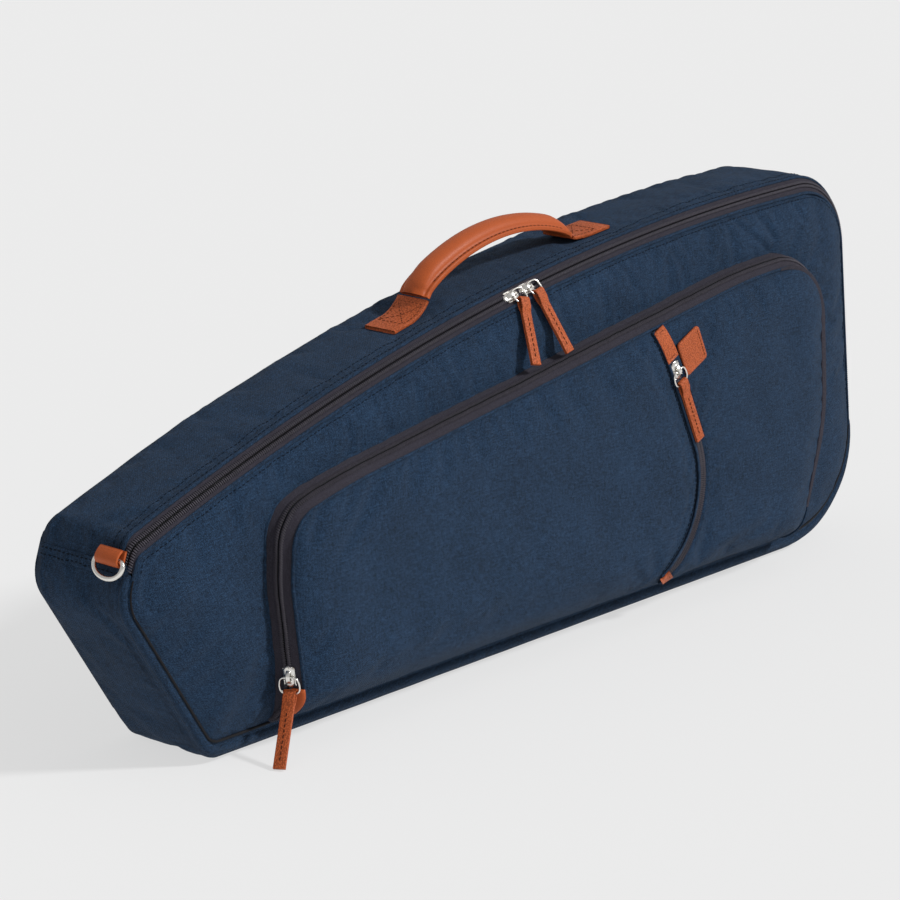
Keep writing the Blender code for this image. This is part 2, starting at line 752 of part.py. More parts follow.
def add_panel_zip(bag):
    """The curved zip in the pocket flap: two tapes, the closed coils and two end tabs."""
    half = PANEL_ZIP_WIDTH / 2
    start, end = PANEL_ZIP_HIDDEN, panel_zip_length() - PANEL_ZIP_HIDDEN
    strips = {
        "panel_zip_left_tape": (-half + GAP, -PANEL_TAPE_FROM, "zip_tape"),
        "panel_zip_coil": (-PANEL_COIL_HALF, PANEL_COIL_HALF, "zip_coil"),
        "panel_zip_right_tape": (PANEL_TAPE_FROM, half - GAP, "zip_tape"),
    }
    for name, (left, right, finish) in strips.items():
        mesh = strip_on_flap(name, (start, end), left, right, PANEL_ZIP_SINK, ZIP_THICKNESS)
        bag.add(name, mesh, finish, "flap")
    low = panel_zip_length()
    tabs = {
        "panel_zip_top_tab": (TOP_TAB_SPAN, -TAB_THICKNESS - GAP),
        "panel_zip_bottom_tab": ([low - back for back in BOTTOM_TAB_SPAN], -TAB_THICKNESS - 0.0011),
    }
    for name, (span, sink) in tabs.items():
        mesh = strip_on_flap(name, span, -END_TAB_HALF, END_TAB_HALF, sink, TAB_THICKNESS)
        bag.add(name, mesh, "tan_leather", "flap")


# ---------------------------------------------------------------- pocket

def zip_side_cutter(name, side):
    """A solid that takes away the flap on one side of the curved zip."""
    edge = side * PANEL_ZIP_WIDTH / 2
    count = 16
    reach = 0.03
    top = panel_zip_point(-reach, -edge)
    low = panel_zip_point(panel_zip_length() + reach, -edge)
    line = [top]
    line += [panel_zip_point(panel_zip_length() * step / count, -edge) for step in range(count + 1)]
    line.append(low)
    far = 0.6 * side
    floor = low.y - reach
    line += [Vector((low.x, floor)), Vector((far, floor)), Vector((far, top.y + reach))]
    return flat_panel(name, line, -0.05, 0.02)


def flap_grid(columns=22, rows=12):
    """Points (x, z) over the flap, in rows from its bottom edge to its top edge."""
    rim = []
    room = ZIP_THICKNESS + 2 * GAP
    for wide, near in zip(pocket_sides(room), pocket_sides(POCKET_LEAN + room)):
        rim.append(between(wide, near, pocket_rise(wide.y)))
    right_corner = max(range(len(rim)), key=lambda index: rim[index].x + rim[index].y)
    left_corner = max(range(len(rim)), key=lambda index: rim[index].y - rim[index].x)
    right = resample(rim[:right_corner + 1], rows)
    top = resample(rim[right_corner:left_corner + 1][::-1], columns)
    left = resample(rim[left_corner:][::-1], rows)
    bottom = resample([left[0], right[0]], columns)
    grid = []
    for row in range(rows + 1):
        v = row / rows
        line = []
        for column in range(columns + 1):
            u = column / columns
            across = between(left[row], right[row], u)
            upward = between(bottom[column], top[column], v)
            low = between(left[0], right[0], u)
            high = between(left[-1], right[-1], u)
            line.append(across + upward - between(low, high, v))
        grid.append(line)
    return grid


def add_flap(bag):
    """The pocket's front, cut in two by the curved zip, and the pouch behind that zip."""
    grid = flap_grid()
    outer = [[flap_surface(point) for point in line] for line in grid]
    inner = [[flap_surface(point, -FABRIC) for point in line] for line in grid]
    for name, side in (("pocket_flap_left", 1), ("pocket_flap_right", -1)):
        mesh = slab(name, outer, inner)
        panel = bag.add(name, mesh, "navy_cloth", "flap")
        cutter = bag.add_cutter(name + "_cutter", zip_side_cutter(name + "_cutter", side), "flap")
        boolean(panel, cutter, "DIFFERENCE", "MANIFOLD")      # EXACT loses this thin sheet
    (left, right), (low, high) = POUCH_X, POUCH_Z
    pouch = [Vector(corner) for corner in ((left, low), (right, low), (right, high), (left, high))]
    mesh = flat_panel("slip_pocket_pouch", pouch, -POUCH_DEPTH, LINING - POUCH_DEPTH)
    bag.add("slip_pocket_pouch", mesh, "lining_cloth", "flap")


def add_flap_label(bag):
    """The plain leather tab that is sewn along the curved zip's right side."""
    width, length, thickness = LABEL_SIZE
    centre = panel_zip_point(LABEL_AT, LABEL_OFFSET + width / 2)
    tilt = Matrix.Rotation(PANEL_ZIP_TILT, 4, "Y")
    corners = [(-width / 2, -length / 2), (width / 2, -length / 2), (width / 2, length / 2),
               (-width / 2, length / 2)]
    mesh = solid_from(prism("label_tab", corners, thickness))
    mesh.transform(Matrix.Rotation(math.pi / 2, 4, "X"))
    origin = Vector((centre.x, -POCKET_CROWN[-1][1] - GAP - thickness / 2, centre.y))
    bag.add("label_tab", mesh, "tan_leather", "flap", Matrix.Translation(origin) @ tilt.inverted())


def add_pocket_end_tab(bag):
    """The leather tab over the lower left end of the pocket's zip."""
    outer, inner = [], []
    for share in (0.56, 1.0):
        raised = pocket_band(share, -GAP - TAB_THICKNESS)[::-1]
        seated = pocket_band(share, -GAP)[::-1]
        outer.append(raised[:2])
        inner.append(seated[:2])
    bag.add("pocket_zip_end_tab", slab("pocket_zip_end_tab", outer, inner), "tan_leather", "flap")


# ---------------------------------------------------------------- sliders and pulls

def slider_frames():
    """Where each slider sits: its frame has X along the zip and Z out of it."""
    frames = {}
    slope = (Vector((0, -1, 0)) * EDGE_INSET["top"] + Vector((0, 0, 1)) * EDGE_DEPTH).normalized()
    for side, x in MAIN_SLIDER_X.items():
        radius = TOP_RADIUS - EDGE_INSET["top"] / 2
        z = TOP_CENTRE.y + math.sqrt(radius ** 2 - (x - TOP_CENTRE.x) ** 2)
        along = Vector((z - TOP_CENTRE.y, 0, TOP_CENTRE.x - x)).normalized()
        normal = (slope - along * slope.dot(along)).normalized()
        origin = Vector((x, EDGE_DEPTH / 2, z))
        frames["main_" + side] = local_frame(origin, along, normal)
    seat = panel_zip_point(PANEL_SLIDER_AT)
    along = Vector((-math.sin(PANEL_ZIP_TILT), 0, math.cos(PANEL_ZIP_TILT)))
    frames["panel"] = local_frame(flap_surface(seat), along, Vector((0, -1, 0)))
    x, z = POCKET_SLIDER_SEAT
    seat = Vector((x, -(POCKET_BASE + POCKET_RIM) / 2, z))
    normal = POCKET_SLIDER_NORMAL.normalized()
    frames["pocket"] = local_frame(seat + normal * GAP, POCKET_SLIDER_WAY.normalized(), normal)
    return frames


def slider_solid(bag, name, joint, frame):
    """A slider's top plate with the bridge that holds the bail."""
    half, wide = SLIDER_LENGTH / 2, SLIDER_WIDTH / 2
    upper = [(half, 0.35 * wide), (0.78 * half, wide), (0.1 * half, 0.92 * wide),
             (-0.6 * half, 0.7 * wide), (-half, 0.42 * wide)]
    outline = upper + [(x, -y) for x, y in reversed(upper)]
    plate = solid_from(prism(name + "_plate", outline[::-1], SLIDER_PLATE))
    plate.transform(Matrix.Translation((0, 0, GAP + SLIDER_PLATE / 2)))
    loop = solid_from(prism(name + "_bridge", BRIDGE, BRIDGE_WIDTH, BRIDGE_HOLE))
    loop.transform(Matrix.Rotation(math.pi / 2, 4, "X"))
    piece = bag.add(name, plate, "nickel", joint, frame)
    tool = bag.add_cutter(name + "_bridge", loop, joint)
    tool.matrix_basis = piece.matrix_basis
    boolean(piece, tool, "UNION")


def bail_points(reach, low, high):
    """The bail's loop: its first bar, from low to high, lies in the slider's bridge."""
    corners = [(0, low), (0, high), (reach, high), (reach, low)]
    corners = [Vector(corner) for corner in corners]
    points = []
    for index, corner in enumerate(corners):
        after = corners[(index + 1) % 4]
        points += round_corner(corners[index - 1], corner, after, BAIL_CORNER, 3)
    return [(point.x, point.y, 0) for point in points]


def add_slider_set(bag, name, frame, bail_way, pull_frame):
    """A slider, its wire bail and its leather pull, each on its own joint."""
    slider_solid(bag, name + "_slider", name + "_slider", frame)
    centre = frame @ Matrix.Translation((0, 0, CROWN_HEIGHT))
    half = BAIL_WIDTH / 2
    points = bail_points(-BAIL_LENGTH, -half, half)
    length = PULL_LENGTH
    if bail_way > 0:
        points = bail_points(BAIL_LENGTH, -half, MAIN_BAIL_BACK)
        length = MAIN_PULL_LENGTH
    bag.add(name + "_bail", wire_ring(name + "_bail", points, BAIL_WIRE), "nickel", name + "_bail", centre)
    pull = pull_solid(name + "_pull", length)
    bag.add(name + "_pull", pull, "tan_leather", name + "_pull", pull_frame)


def pull_solid(name, length):
    """A folded leather strip: its eye is at the origin and it runs along -X."""
    eye, slot, head, body = PULL_EYE, PULL_SLOT, PULL_EYE + PULL_SKIN, PULL_THICKNESS / 2
    neck = slot + 0.004
    outline = [(head, 0.0), (0.7 * head, 0.75 * head), (0.0, head), (-slot, head),
               (-neck, body), (-length, body), (-length, -body),
               (-neck, -body), (-slot, -head), (0.0, -head), (0.7 * head, -0.75 * head)]
    hole = [(eye, 0.0), (0.6 * eye, 0.8 * eye), (-slot, 0.8 * eye), (-slot - PULL_SKIN, 0.0),
            (-slot, -0.8 * eye), (0.6 * eye, -0.8 * eye)]
    mesh = solid_from(prism(name, outline, PULL_WIDTH, hole))
    mesh.transform(Matrix.Rotation(math.pi / 2, 4, "X"))
    return mesh


def pull_frames(frames):
    """Where each pull hangs: X points up the pull, Z out of the bag."""
    result = {}
    half = BAIL_WIDTH / 2
    down = Vector((0, -math.sin(PULL_LEAN), -math.cos(PULL_LEAN)))
    for side in MAIN_SLIDER_X:
        bar = frames["main_" + side] @ Vector((PULL_SEAT * BAIL_LENGTH, -half, CROWN_HEIGHT))
        normal = Vector((0, -math.cos(PULL_LEAN), math.sin(PULL_LEAN)))
        slack = PULL_SLACK[side]
        hang = Matrix.Rotation(PULL_SLANT[side], 3, normal) @ down
        result["main_" + side] = local_frame(bar - hang * slack, -hang, normal)
    for name in ("panel", "pocket"):
        bar = frames[name] @ Vector((-BAIL_LENGTH, 0, CROWN_HEIGHT))
        along = frames[name].to_3x3().col[0]
        normal = frames[name].to_3x3().col[2]
        result[name] = local_frame(bar, along, normal)
    along, across, normal = frames["pocket"].to_3x3().transposed()
    hang = normal * math.sin(POCKET_PULL_LEAN) - along * math.cos(POCKET_PULL_LEAN)
    result["pocket"] = local_frame(result["pocket"].translation, -hang, across.cross(hang))
    return result


def add_sliders(bag):
    """All four sliders with their bails and pulls."""
    frames = slider_frames()
    pulls = pull_frames(frames)
    for name, frame in frames.items():
        parent = "lid" if name.startswith("main") else "flap"
        bag.add_empty(name + "_slider", parent, frame.translation)
        bag.add_empty(name + "_bail", name + "_slider", frame @ Vector((0, 0, CROWN_HEIGHT)))
        way = 1 if name.startswith("main") else -1
        reach = Vector((PULL_SEAT * BAIL_LENGTH, -BAIL_WIDTH / 2, CROWN_HEIGHT))
        if way < 0:
            reach = Vector((-BAIL_LENGTH, 0, CROWN_HEIGHT))
        bag.add_empty(name + "_pull", name + "_bail", frame @ reach)
        add_slider_set(bag, name, frame, way, pulls[name])


# ---------------------------------------------------------------- handle and strap rings

def top_height(x, lift=0.0):
    """Height of the top gusset's outer face at x."""
    radius = TOP_RADIUS + lift
    return TOP_CENTRE.y + math.sqrt(radius ** 2 - (x - TOP_CENTRE.x) ** 2)


def grip_path(count=20):
    """Centre line of the handle's grip, as (point, direction) pairs."""
    path = []
    for step in range(count + 1):
        share = step / count
        x = between(GRIP_FROM_X, GRIP_TO_X, share)
        arch = math.sin(math.pi * share) ** 0.8 if 0 < share < 1 else 0.0
        z = top_height(x) + GRIP_CLEAR + (GRIP_RISE - GRIP_CLEAR) * arch
        path.append(Vector((x, HANDLE_Y, z)))
    return path


def oval_rings(path, width, thickness, sides=12):
    """Flattened oval sections square to a path in the XZ plane."""
    rings = []
    for index, point in enumerate(path):
        before = path[max(index - 1, 0)]
        after = path[min(index + 1, len(path) - 1)]
        along = (after - before).normalized()
        normal = Vector((-along.z, 0, along.x))
        ring = []
        for side in range(sides):
            angle = 2 * math.pi * side / sides
            c, s = math.cos(angle), math.sin(angle)
            wide = math.copysign(abs(c) ** 0.7, c) * width / 2
            high = math.copysign(abs(s) ** 0.8, s) * thickness / 2
            ring.append(point + Vector((0, wide, 0)) + normal * high)
        rings.append(ring)
    return rings


def add_handle(bag):
    """The padded grip with its core, and the two patches sewn to the top gusset."""
    path = grip_path()
    outer = oval_rings(path, STRAP_WIDTH, GRIP_THICKNESS)
    inner = oval_rings(path, CORE_WIDTH + 2 * GAP, CORE_THICKNESS + 2 * GAP)
    mesh = ring_stack("handle_grip", outer + inner[::-1], closed=True)
    bag.add("handle_grip", mesh, "grip_leather", "handle")
    core = oval_rings(path, CORE_WIDTH, CORE_THICKNESS)
    bag.add("handle_core", ring_stack("handle_core", core), "foam", "handle")
    half = STRAP_WIDTH / 2
    for side, (start, end) in PATCH_X.items():
        columns = [between(start, end, step / 4) for step in range(5)]
        outer, inner = [], []
        for y in (HANDLE_Y - half, HANDLE_Y + half):
            outer.append([Vector((x, y, top_height(x, GAP + STRAP_THICKNESS))) for x in columns])
            inner.append([Vector((x, y, top_height(x, GAP))) for x in columns])
        name = "handle_patch_" + side
        bag.add(name, slab(name, outer, inner), "tan_leather")


def ring_points():
    """A D-ring: a straight bar along Y and a bow that hangs along -X."""
    bar = RING_HALF - RING_BAR_SHORT
    points = [(0.0, -bar, 0.0), (0.0, bar, 0.0)]
    steps = 12
    for step in range(steps + 1):
        angle = math.pi * step / steps
        drop = RING_DROP * math.sin(angle) ** 0.8
        points.append((-RING_BAR_SHORT - drop, RING_HALF * math.cos(angle), 0.0))
    return points


def add_strap_ring(bag, end, frame):
    """A leather loop and the D-ring that swings in it; frame's Z points out of the bag."""
    name = "strap_ring_" + end
    seat = frame @ Matrix.Translation((0, 0, RING_SEAT))
    bag.add_empty(name, "bag", seat.translation)
    bag.add(name, wire_ring(name, ring_points(), RING_WIRE), "nickel", name, seat)
    eye = RING_WIRE + 0.0007
    head = eye + LOOP_SKIN
    outline, hole = [], []
    for step in range(9):
        angle = -math.pi / 2 - math.pi * step / 8
        outline.append((head * math.cos(angle), head * math.sin(angle)))
    outline += [(LOOP_LENGTH, head * 0.35), (LOOP_LENGTH, -head)]
    for step in range(10):
        angle = 2 * math.pi * step / 10
        hole.append((eye * math.cos(angle), eye * math.sin(angle)))
    mesh = solid_from(prism("strap_loop_" + end, outline, LOOP_WIDTH, hole))
    mesh.transform(Matrix.Rotation(math.pi / 2, 4, "X"))
    bag.add("strap_loop_" + end, mesh, "tan_leather", "bag", seat)


def add_strap_rings(bag):
    """One ring on the narrow end and one on the wide end."""
    line = shell_outline()
    start, end = line["shoulder"][-1], line["tip"][0]
    slope = (start - end).normalized()
    seat = point_at_height(start, end, NARROW_SEAM_Z + 0.002)
    along = Vector((slope.x, 0, slope.y))
    normal = Vector((-slope.y, 0, slope.x))
    frame = local_frame(Vector((seat.x, NARROW_RING_Y, seat.y)), along, normal)
    add_strap_ring(bag, "narrow", frame)
    slope = WIDE_SLOPE.normalized()
    seat = point_at_height(line["foot"][-1], line["crown"][0], WIDE_RING_Z)
    along = Vector((slope.x, 0, slope.y))
    normal = Vector((slope.y, 0, -slope.x))
    frame = local_frame(Vector((seat.x, DEPTH / 2, seat.y)), along, normal)
    add_strap_ring(bag, "wide", frame)


def add_joint_empties(bag):
    """The empties that the lid, the pocket flap and the handle turn about."""
    bag.add_empty("lid", "bag", Vector((0, 0, EDGE_INSET["bottom"])))
    foot = Vector(POCKET_CORNERS[0][:2])
    bag.add_empty("flap", "lid", Vector((0, flap_surface(foot).y, foot.y)))
    bag.add_empty("handle", "bag", Vector((0, HANDLE_Y, top_height(0) + GRIP_CLEAR)))


def build():
    """Model the whole bag."""
    clear_scene()
    bag = Bag()
    add_joint_empties(bag)
    add_gusset(bag)
    add_gusset_lining(bag)
    add_back(bag)
    add_front(bag)
    add_main_zip(bag)
    add_pocket_zip(bag)
    add_flap(bag)
    add_panel_zip(bag)
    add_flap_label(bag)
    add_pocket_end_tab(bag)
    add_sliders(bag)
    add_handle(bag)
    add_strap_rings(bag)


build()
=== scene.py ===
"""Looks of a padded gig bag: woven cloth, coil zips, leather trims and nickel round its CAD frame.

Shapes are drawn in the CAD's bag frame, in metres: X runs to the wide end, Y from the front seam
plane to the back, Z up from the floor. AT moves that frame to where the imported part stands.
"""
import math

import bpy
import numpy as np
from mathutils import Euler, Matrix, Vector
from mathutils.bvhtree import BVHTree


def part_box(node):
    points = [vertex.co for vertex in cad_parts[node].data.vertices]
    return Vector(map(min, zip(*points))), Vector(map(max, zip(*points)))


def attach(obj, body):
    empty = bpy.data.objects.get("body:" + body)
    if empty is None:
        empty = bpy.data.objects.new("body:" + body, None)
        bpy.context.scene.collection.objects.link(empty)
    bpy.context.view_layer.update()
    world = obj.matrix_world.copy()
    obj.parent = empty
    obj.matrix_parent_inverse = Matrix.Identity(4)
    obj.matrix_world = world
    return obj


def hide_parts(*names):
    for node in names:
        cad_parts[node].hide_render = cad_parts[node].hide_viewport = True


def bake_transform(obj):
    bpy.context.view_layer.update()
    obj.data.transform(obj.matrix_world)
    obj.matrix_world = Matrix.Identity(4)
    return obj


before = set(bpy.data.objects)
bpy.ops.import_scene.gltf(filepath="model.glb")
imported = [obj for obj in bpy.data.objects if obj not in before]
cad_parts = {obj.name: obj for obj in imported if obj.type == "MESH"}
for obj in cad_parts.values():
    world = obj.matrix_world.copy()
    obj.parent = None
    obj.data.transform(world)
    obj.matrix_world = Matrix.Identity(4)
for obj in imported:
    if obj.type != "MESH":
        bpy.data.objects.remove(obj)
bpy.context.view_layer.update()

AT = np.array((0.0018, -0.0243, 0.0))
DEPTH = 0.085
EDGE_DEPTH = 0.0095
HEEL = (-0.308, 0.0, 0.016)
NARROW_TIP = (-0.386, 0.122, 0.03)
WIDE_FOOT = (0.396, 0.0, 0.08)
NARROW_TOP_SLOPE = np.array((-0.016, -0.046))
WIDE_SLOPE = np.array((-0.034, 0.287))
TOP_CENTRE = np.array((0.314, -1.656))
TOP_RADIUS = 1.943
TOP_FROM_X = 0.29
TOP_TO_X = -0.35
NARROW_CORNER_RADIUS = 0.012
WIDE_CORNER_RADIUS = 0.062
EDGE_INSET = {"bottom": 0.016, "wide": 0.0105, "top": 0.0105, "narrow": 0.004}
MAIN_ZIP_LOW_Z = 0.092
NARROW_SEAM_Z = 0.146
NARROW_RING_Y = 0.0145
WIDE_RING_Z = 0.19

LID_CROWN = 0.0126
LID_SOFTNESS = 0.019
BACK_CROWN = 0.004
POCKET_RIM = 0.0285
POCKET_CROWN = 0.0358
POCKET_LEAN = 0.008
POCKET_FOOT_Z = 0.0172
POCKET_FOOT_DEPTH = 0.0025
POCKET_RISE = 0.024
POCKET_CORNERS = (
    (-0.262, 0.0172, 0.004), (0.283, 0.0172, 0.006), (0.310, 0.110, 0.15), (0.300, 0.2435, 0.055),
    (0.205, 0.2405, 0.5), (-0.215, 0.1765, 0.5), (-0.272, 0.1625, 0.034), (-0.2755, 0.115, 0.1),
)
PANEL_ZIP_TOP = np.array((0.0955, 0.2165))
PANEL_ZIP_TILT = math.radians(25.5)
PANEL_ZIP_STRAIGHT = 0.0975
PANEL_ZIP_RADIUS = 0.071
PANEL_ZIP_TURN = math.radians(75)
PANEL_ZIP_TAIL = 0.030
PANEL_ZIP_LENGTH = PANEL_ZIP_STRAIGHT + PANEL_ZIP_RADIUS * PANEL_ZIP_TURN + PANEL_ZIP_TAIL
PANEL_ZIP_END = PANEL_ZIP_LENGTH - 0.011       # where its low end tab stops

HANDLE_Y = 0.039
STRAP_WIDTH = 0.027
STRAP_THICKNESS = 0.0026
PATCH_X = {"left": (-0.1125, -0.079), "right": (0.0725, 0.1115)}
PATCH_REACH = 0.002             # how far each patch runs on under the grip
LABEL_ALONG = 0.0335            # the label's middle, from the curved zip's top end
TO_FRONT = np.array((0.0, -1.0, 0.0))

BENT_LID = "bent lid"           # stands for a body: the lid, bending out of the shell
SLOT_OF = {"navy_thread": "navy_cloth", "zip_gap": "navy_cloth", "tan_thread": "tan_leather",
           "leather_edge": "tan_leather", "grip_leather": "tan_leather"}

# Length, gap and width of the stitches in each kind of row.
SMALL_STITCH = (0.0020, 0.0008, 0.0005)
SEAM_STITCH = (0.0026, 0.0012, 0.0007)
FOLD_STITCH = (0.0028, 0.0012, 0.0009)
ZIP_STITCH = (0.0026, 0.0010, 0.0009)
PULL_STITCH = (0.0026, 0.0010, 0.0008)
GRIP_STITCH = (0.0030, 0.0011, 0.0006)
PATCH_STITCH = (0.0026, 0.0010, 0.00055)
LOOP_STITCH = (0.0024, 0.0009, 0.00055)

# Ridges and dents in the cloth: start and end (x, z), width and height.
LID_CREASES = (
    ((0.214, 0.274), (0.262, 0.236), 0.0022, -0.0016), ((0.218, 0.276), (0.266, 0.238), 0.006, 0.0009),
    ((0.243, 0.272), (0.262, 0.250), 0.003, -0.0010), ((0.318, 0.278), (0.320, 0.222), 0.008, -0.0016),
    ((-0.380, 0.106), (-0.335, 0.124), 0.010, 0.0018), ((-0.372, 0.092), (-0.318, 0.108), 0.012, -0.0012),
    ((-0.272, 0.060), (-0.304, 0.020), 0.010, -0.0030), ((-0.290, 0.075), (-0.318, 0.030), 0.012, 0.0012),
)
FLAP_CREASES = (
    ((0.150, 0.044), (0.222, 0.060), 0.007, 0.0012), ((0.160, 0.036), (0.225, 0.049), 0.006, -0.0014),
    ((0.235, 0.215), (0.278, 0.120), 0.016, -0.0010), ((-0.215, 0.050), (-0.150, 0.030), 0.010, -0.0010),
)


# ---------------------------------------------------------------- vectors and outlines

def unit(v):
    """A vector, or each row of vectors, at length one."""
    v = np.asarray(v, float)
    return v / np.maximum(np.linalg.norm(v, axis=-1, keepdims=True), 1e-12)


def cross_lines(first, second):
    """Where two lines, each (point, direction), meet."""
    (p, u), (q, v) = first, second
    d = q - p
    return p + u * ((d[0] * v[1] - d[1] * v[0]) / (u[0] * v[1] - u[1] * v[0]))


def corner_arc(before, corner, after, radius, count):
    """Points of the arc that rounds a corner."""
    a, b = unit(before - corner), unit(after - corner)
    half = math.acos(a @ b) / 2
    centre = corner + unit(a + b) * radius / math.sin(half)
    start = corner + a * radius / math.tan(half) - centre
    end = corner + b * radius / math.tan(half) - centre
    turn = np.linspace(0, math.atan2(start[0] * end[1] - start[1] * end[0], start @ end), count + 1)
    c, s = np.cos(turn), np.sin(turn)
    return centre + np.stack((c * start[0] - s * start[1], s * start[0] + c * start[1]), 1)


def shifted(line, inset):
    """A side of an anticlockwise outline, moved inwards."""
    point, along = line
    return point + unit((-along[1], along[0])) * inset, along


def run(start, end, count):
    """The points between two ends, without the ends."""
    return start + (end - start) * np.linspace(0, 1, count + 1)[1:-1, None]


def stretches(edge=0.0, inset=0.0):
    """The bag's side outline, anticlockwise from the heel, as named stretches of fixed counts."""
    side = {name: edge * amount + inset for name, amount in EDGE_INSET.items()}
    heel, tip, foot = (np.array(c[:2]) for c in (HEEL, NARROW_TIP, WIDE_FOOT))
    radius = TOP_RADIUS - side["top"]

    def on_arc(x):
        angle = math.acos((x - TOP_CENTRE[0]) / TOP_RADIUS)
        c, s = math.cos(angle), math.sin(angle)
        return TOP_CENTRE + radius * np.array((c, s)), np.array((-s, c))

    bottom = shifted((heel, foot - heel), side["bottom"])
    wide = shifted((foot, WIDE_SLOPE), side["wide"])
    upper = shifted((tip, NARROW_TOP_SLOPE), side["narrow"])
    lower = shifted((tip, heel - tip), side["narrow"])
    top_right, top_left = on_arc(TOP_FROM_X), on_arc(TOP_TO_X)
    a, f = cross_lines(bottom, lower), cross_lines(bottom, wide)
    d, c = cross_lines(wide, top_right), cross_lines(top_left, upper)
    b = cross_lines(upper, lower)

    def arc(before, corner, after, full, count, name):
        return corner_arc(before, corner, after, max(full - side[name], 0.003), count)

    part = {
        "heel": arc(b, a, f, HEEL[2], 8, "narrow"),
        "foot": arc(a, f, d, WIDE_FOOT[2], 16, "wide"),
        "crown": arc(f, d, top_right[0], WIDE_CORNER_RADIUS, 14, "wide"),
        "shoulder": arc(top_left[0], c, b, NARROW_CORNER_RADIUS, 5, "narrow"),
        "tip": arc(c, b, a, NARROW_TIP[2], 8, "narrow"),
    }
    ends = [part["crown"][-1] - TOP_CENTRE, part["shoulder"][0] - TOP_CENTRE]
    angles = np.linspace(*(math.atan2(e[1], e[0]) for e in ends), 151)[1:-1]
    part["top"] = TOP_CENTRE + radius * np.stack((np.cos(angles), np.sin(angles)), 1)
    part["bottom"] = run(part["heel"][-1], part["foot"][0], 120)
    part["wide"] = run(part["foot"][-1], part["crown"][0], 26)
    part["upper"] = run(part["shoulder"][-1], part["tip"][0], 8)
    part["lower"] = run(part["tip"][-1], part["heel"][0], 24)
    order = ("heel", "bottom", "foot", "wide", "crown", "top", "shoulder", "upper", "tip", "lower")
    return {name: part[name] for name in order}


def outline(edge=0.0, inset=0.0):
    """All of the side outline, as one array of points."""
    return np.concatenate(list(stretches(edge, inset).values()))


def marks():
    """Where each stretch starts in outline()."""
    found, total = {}, 0
    for name, points in stretches().items():
        found[name] = total
        total += len(points)
    return found


MARK = marks()
SIDE = outline()
ZIP_FROM = MARK["wide"] + int(np.argmin(abs(SIDE[MARK["wide"]:MARK["crown"], 1] - MAIN_ZIP_LOW_Z)))
ZIP_TO = MARK["upper"] + int(np.argmin(abs(SIDE[MARK["upper"]:MARK["tip"], 1] - NARROW_SEAM_Z)))


def lengths(line):
    """How far along a line each of its points is."""
    return np.concatenate(([0], np.cumsum(np.linalg.norm(np.diff(line, axis=0), axis=1))))


def picked(at, along, values):
    """Rows of values at the places at, where along says how far on each row is."""
    return np.stack([np.interp(at, along, values[:, k]) for k in range(values.shape[1])], 1)


def looped(line):
    """A ring of points with its first point again at its end."""
    return np.concatenate((line, line[:1]))


def resample(line, count):
    """Evenly spaced points along a line of points."""
    along = lengths(line)
    return picked(np.linspace(0, along[-1], count), along, line)


def spaced(line, pitch):
    """Points along a line about one pitch apart."""
    return resample(line, max(2, int(round(lengths(line)[-1] / pitch)) + 1))


def rim_distance(flat, line):
    """Distance of each point (x, z) of a grid from a line of points."""
    a, d = line[:-1], np.diff(line, axis=0)
    rel = flat.reshape(-1, 2)[:, None] - a[None]
    share = np.clip((rel * d).sum(2) / np.maximum((d * d).sum(1), 1e-12), 0, 1)
    far = np.linalg.norm(rel - share[..., None] * d[None], axis=2).min(1)
    return far.reshape(flat.shape[:2])


def pocket_outline(inset=0.0):
    """The pocket's sides and top, from its lower right corner round to its lower left one."""
    corners = [np.array(c[:2]) for c in POCKET_CORNERS]
    count = len(corners)
    lines = []
    for k, corner in enumerate(corners):
        lines.append(shifted((corner, corners[(k + 1) % count] - corner), inset if k else 0.0))
    moved = [cross_lines(lines[k - 1], lines[k]) for k in range(count)]
    points = [moved[1][None]]
    for k in range(2, count):
        radius = max(POCKET_CORNERS[k][2] - inset, 0.002)
        points.append(corner_arc(moved[k - 1], moved[k], moved[(k + 1) % count], radius, 12))
    points.append(moved[0][None])
    return np.concatenate(points)


def panel_zip_point(length, offset=0.0):
    """A point (x, z) on the curved zip: length from its top end, offset to its right."""
    along = np.array((math.sin(PANEL_ZIP_TILT), -math.cos(PANEL_ZIP_TILT)))
    right = np.array((-along[1], along[0]))
    if length <= PANEL_ZIP_STRAIGHT:
        return PANEL_ZIP_TOP + along * length + right * offset
    centre = PANEL_ZIP_TOP + along * PANEL_ZIP_STRAIGHT - right * PANEL_ZIP_RADIUS
    turn = min((length - PANEL_ZIP_STRAIGHT) / PANEL_ZIP_RADIUS, PANEL_ZIP_TURN)
    c, s = math.cos(-turn), math.sin(-turn)
    spoke = np.array((c * right[0] - s * right[1], s * right[0] + c * right[1]))
    tail = max(0.0, length - PANEL_ZIP_STRAIGHT - PANEL_ZIP_RADIUS * PANEL_ZIP_TURN)
    return centre + spoke * (PANEL_ZIP_RADIUS + offset) + np.array((spoke[1], -spoke[0])) * tail


def top_height(x, lift=0.0):
    """Height of the top gusset at x."""
    return TOP_CENTRE[1] + np.sqrt((TOP_RADIUS + lift) ** 2 - (np.asarray(x) - TOP_CENTRE[0]) ** 2)


def at_depth(points, y):
    """Outline points (x, z) placed at depth y."""
    return np.stack((points[:, 0], np.broadcast_to(y, len(points)), points[:, 1]), 1)


# ---------------------------------------------------------------- meshes

def add_object(name, data):
    """A new object in the scene."""
    found = bpy.data.objects.new(name, data)
    bpy.context.scene.collection.objects.link(found)
    return found


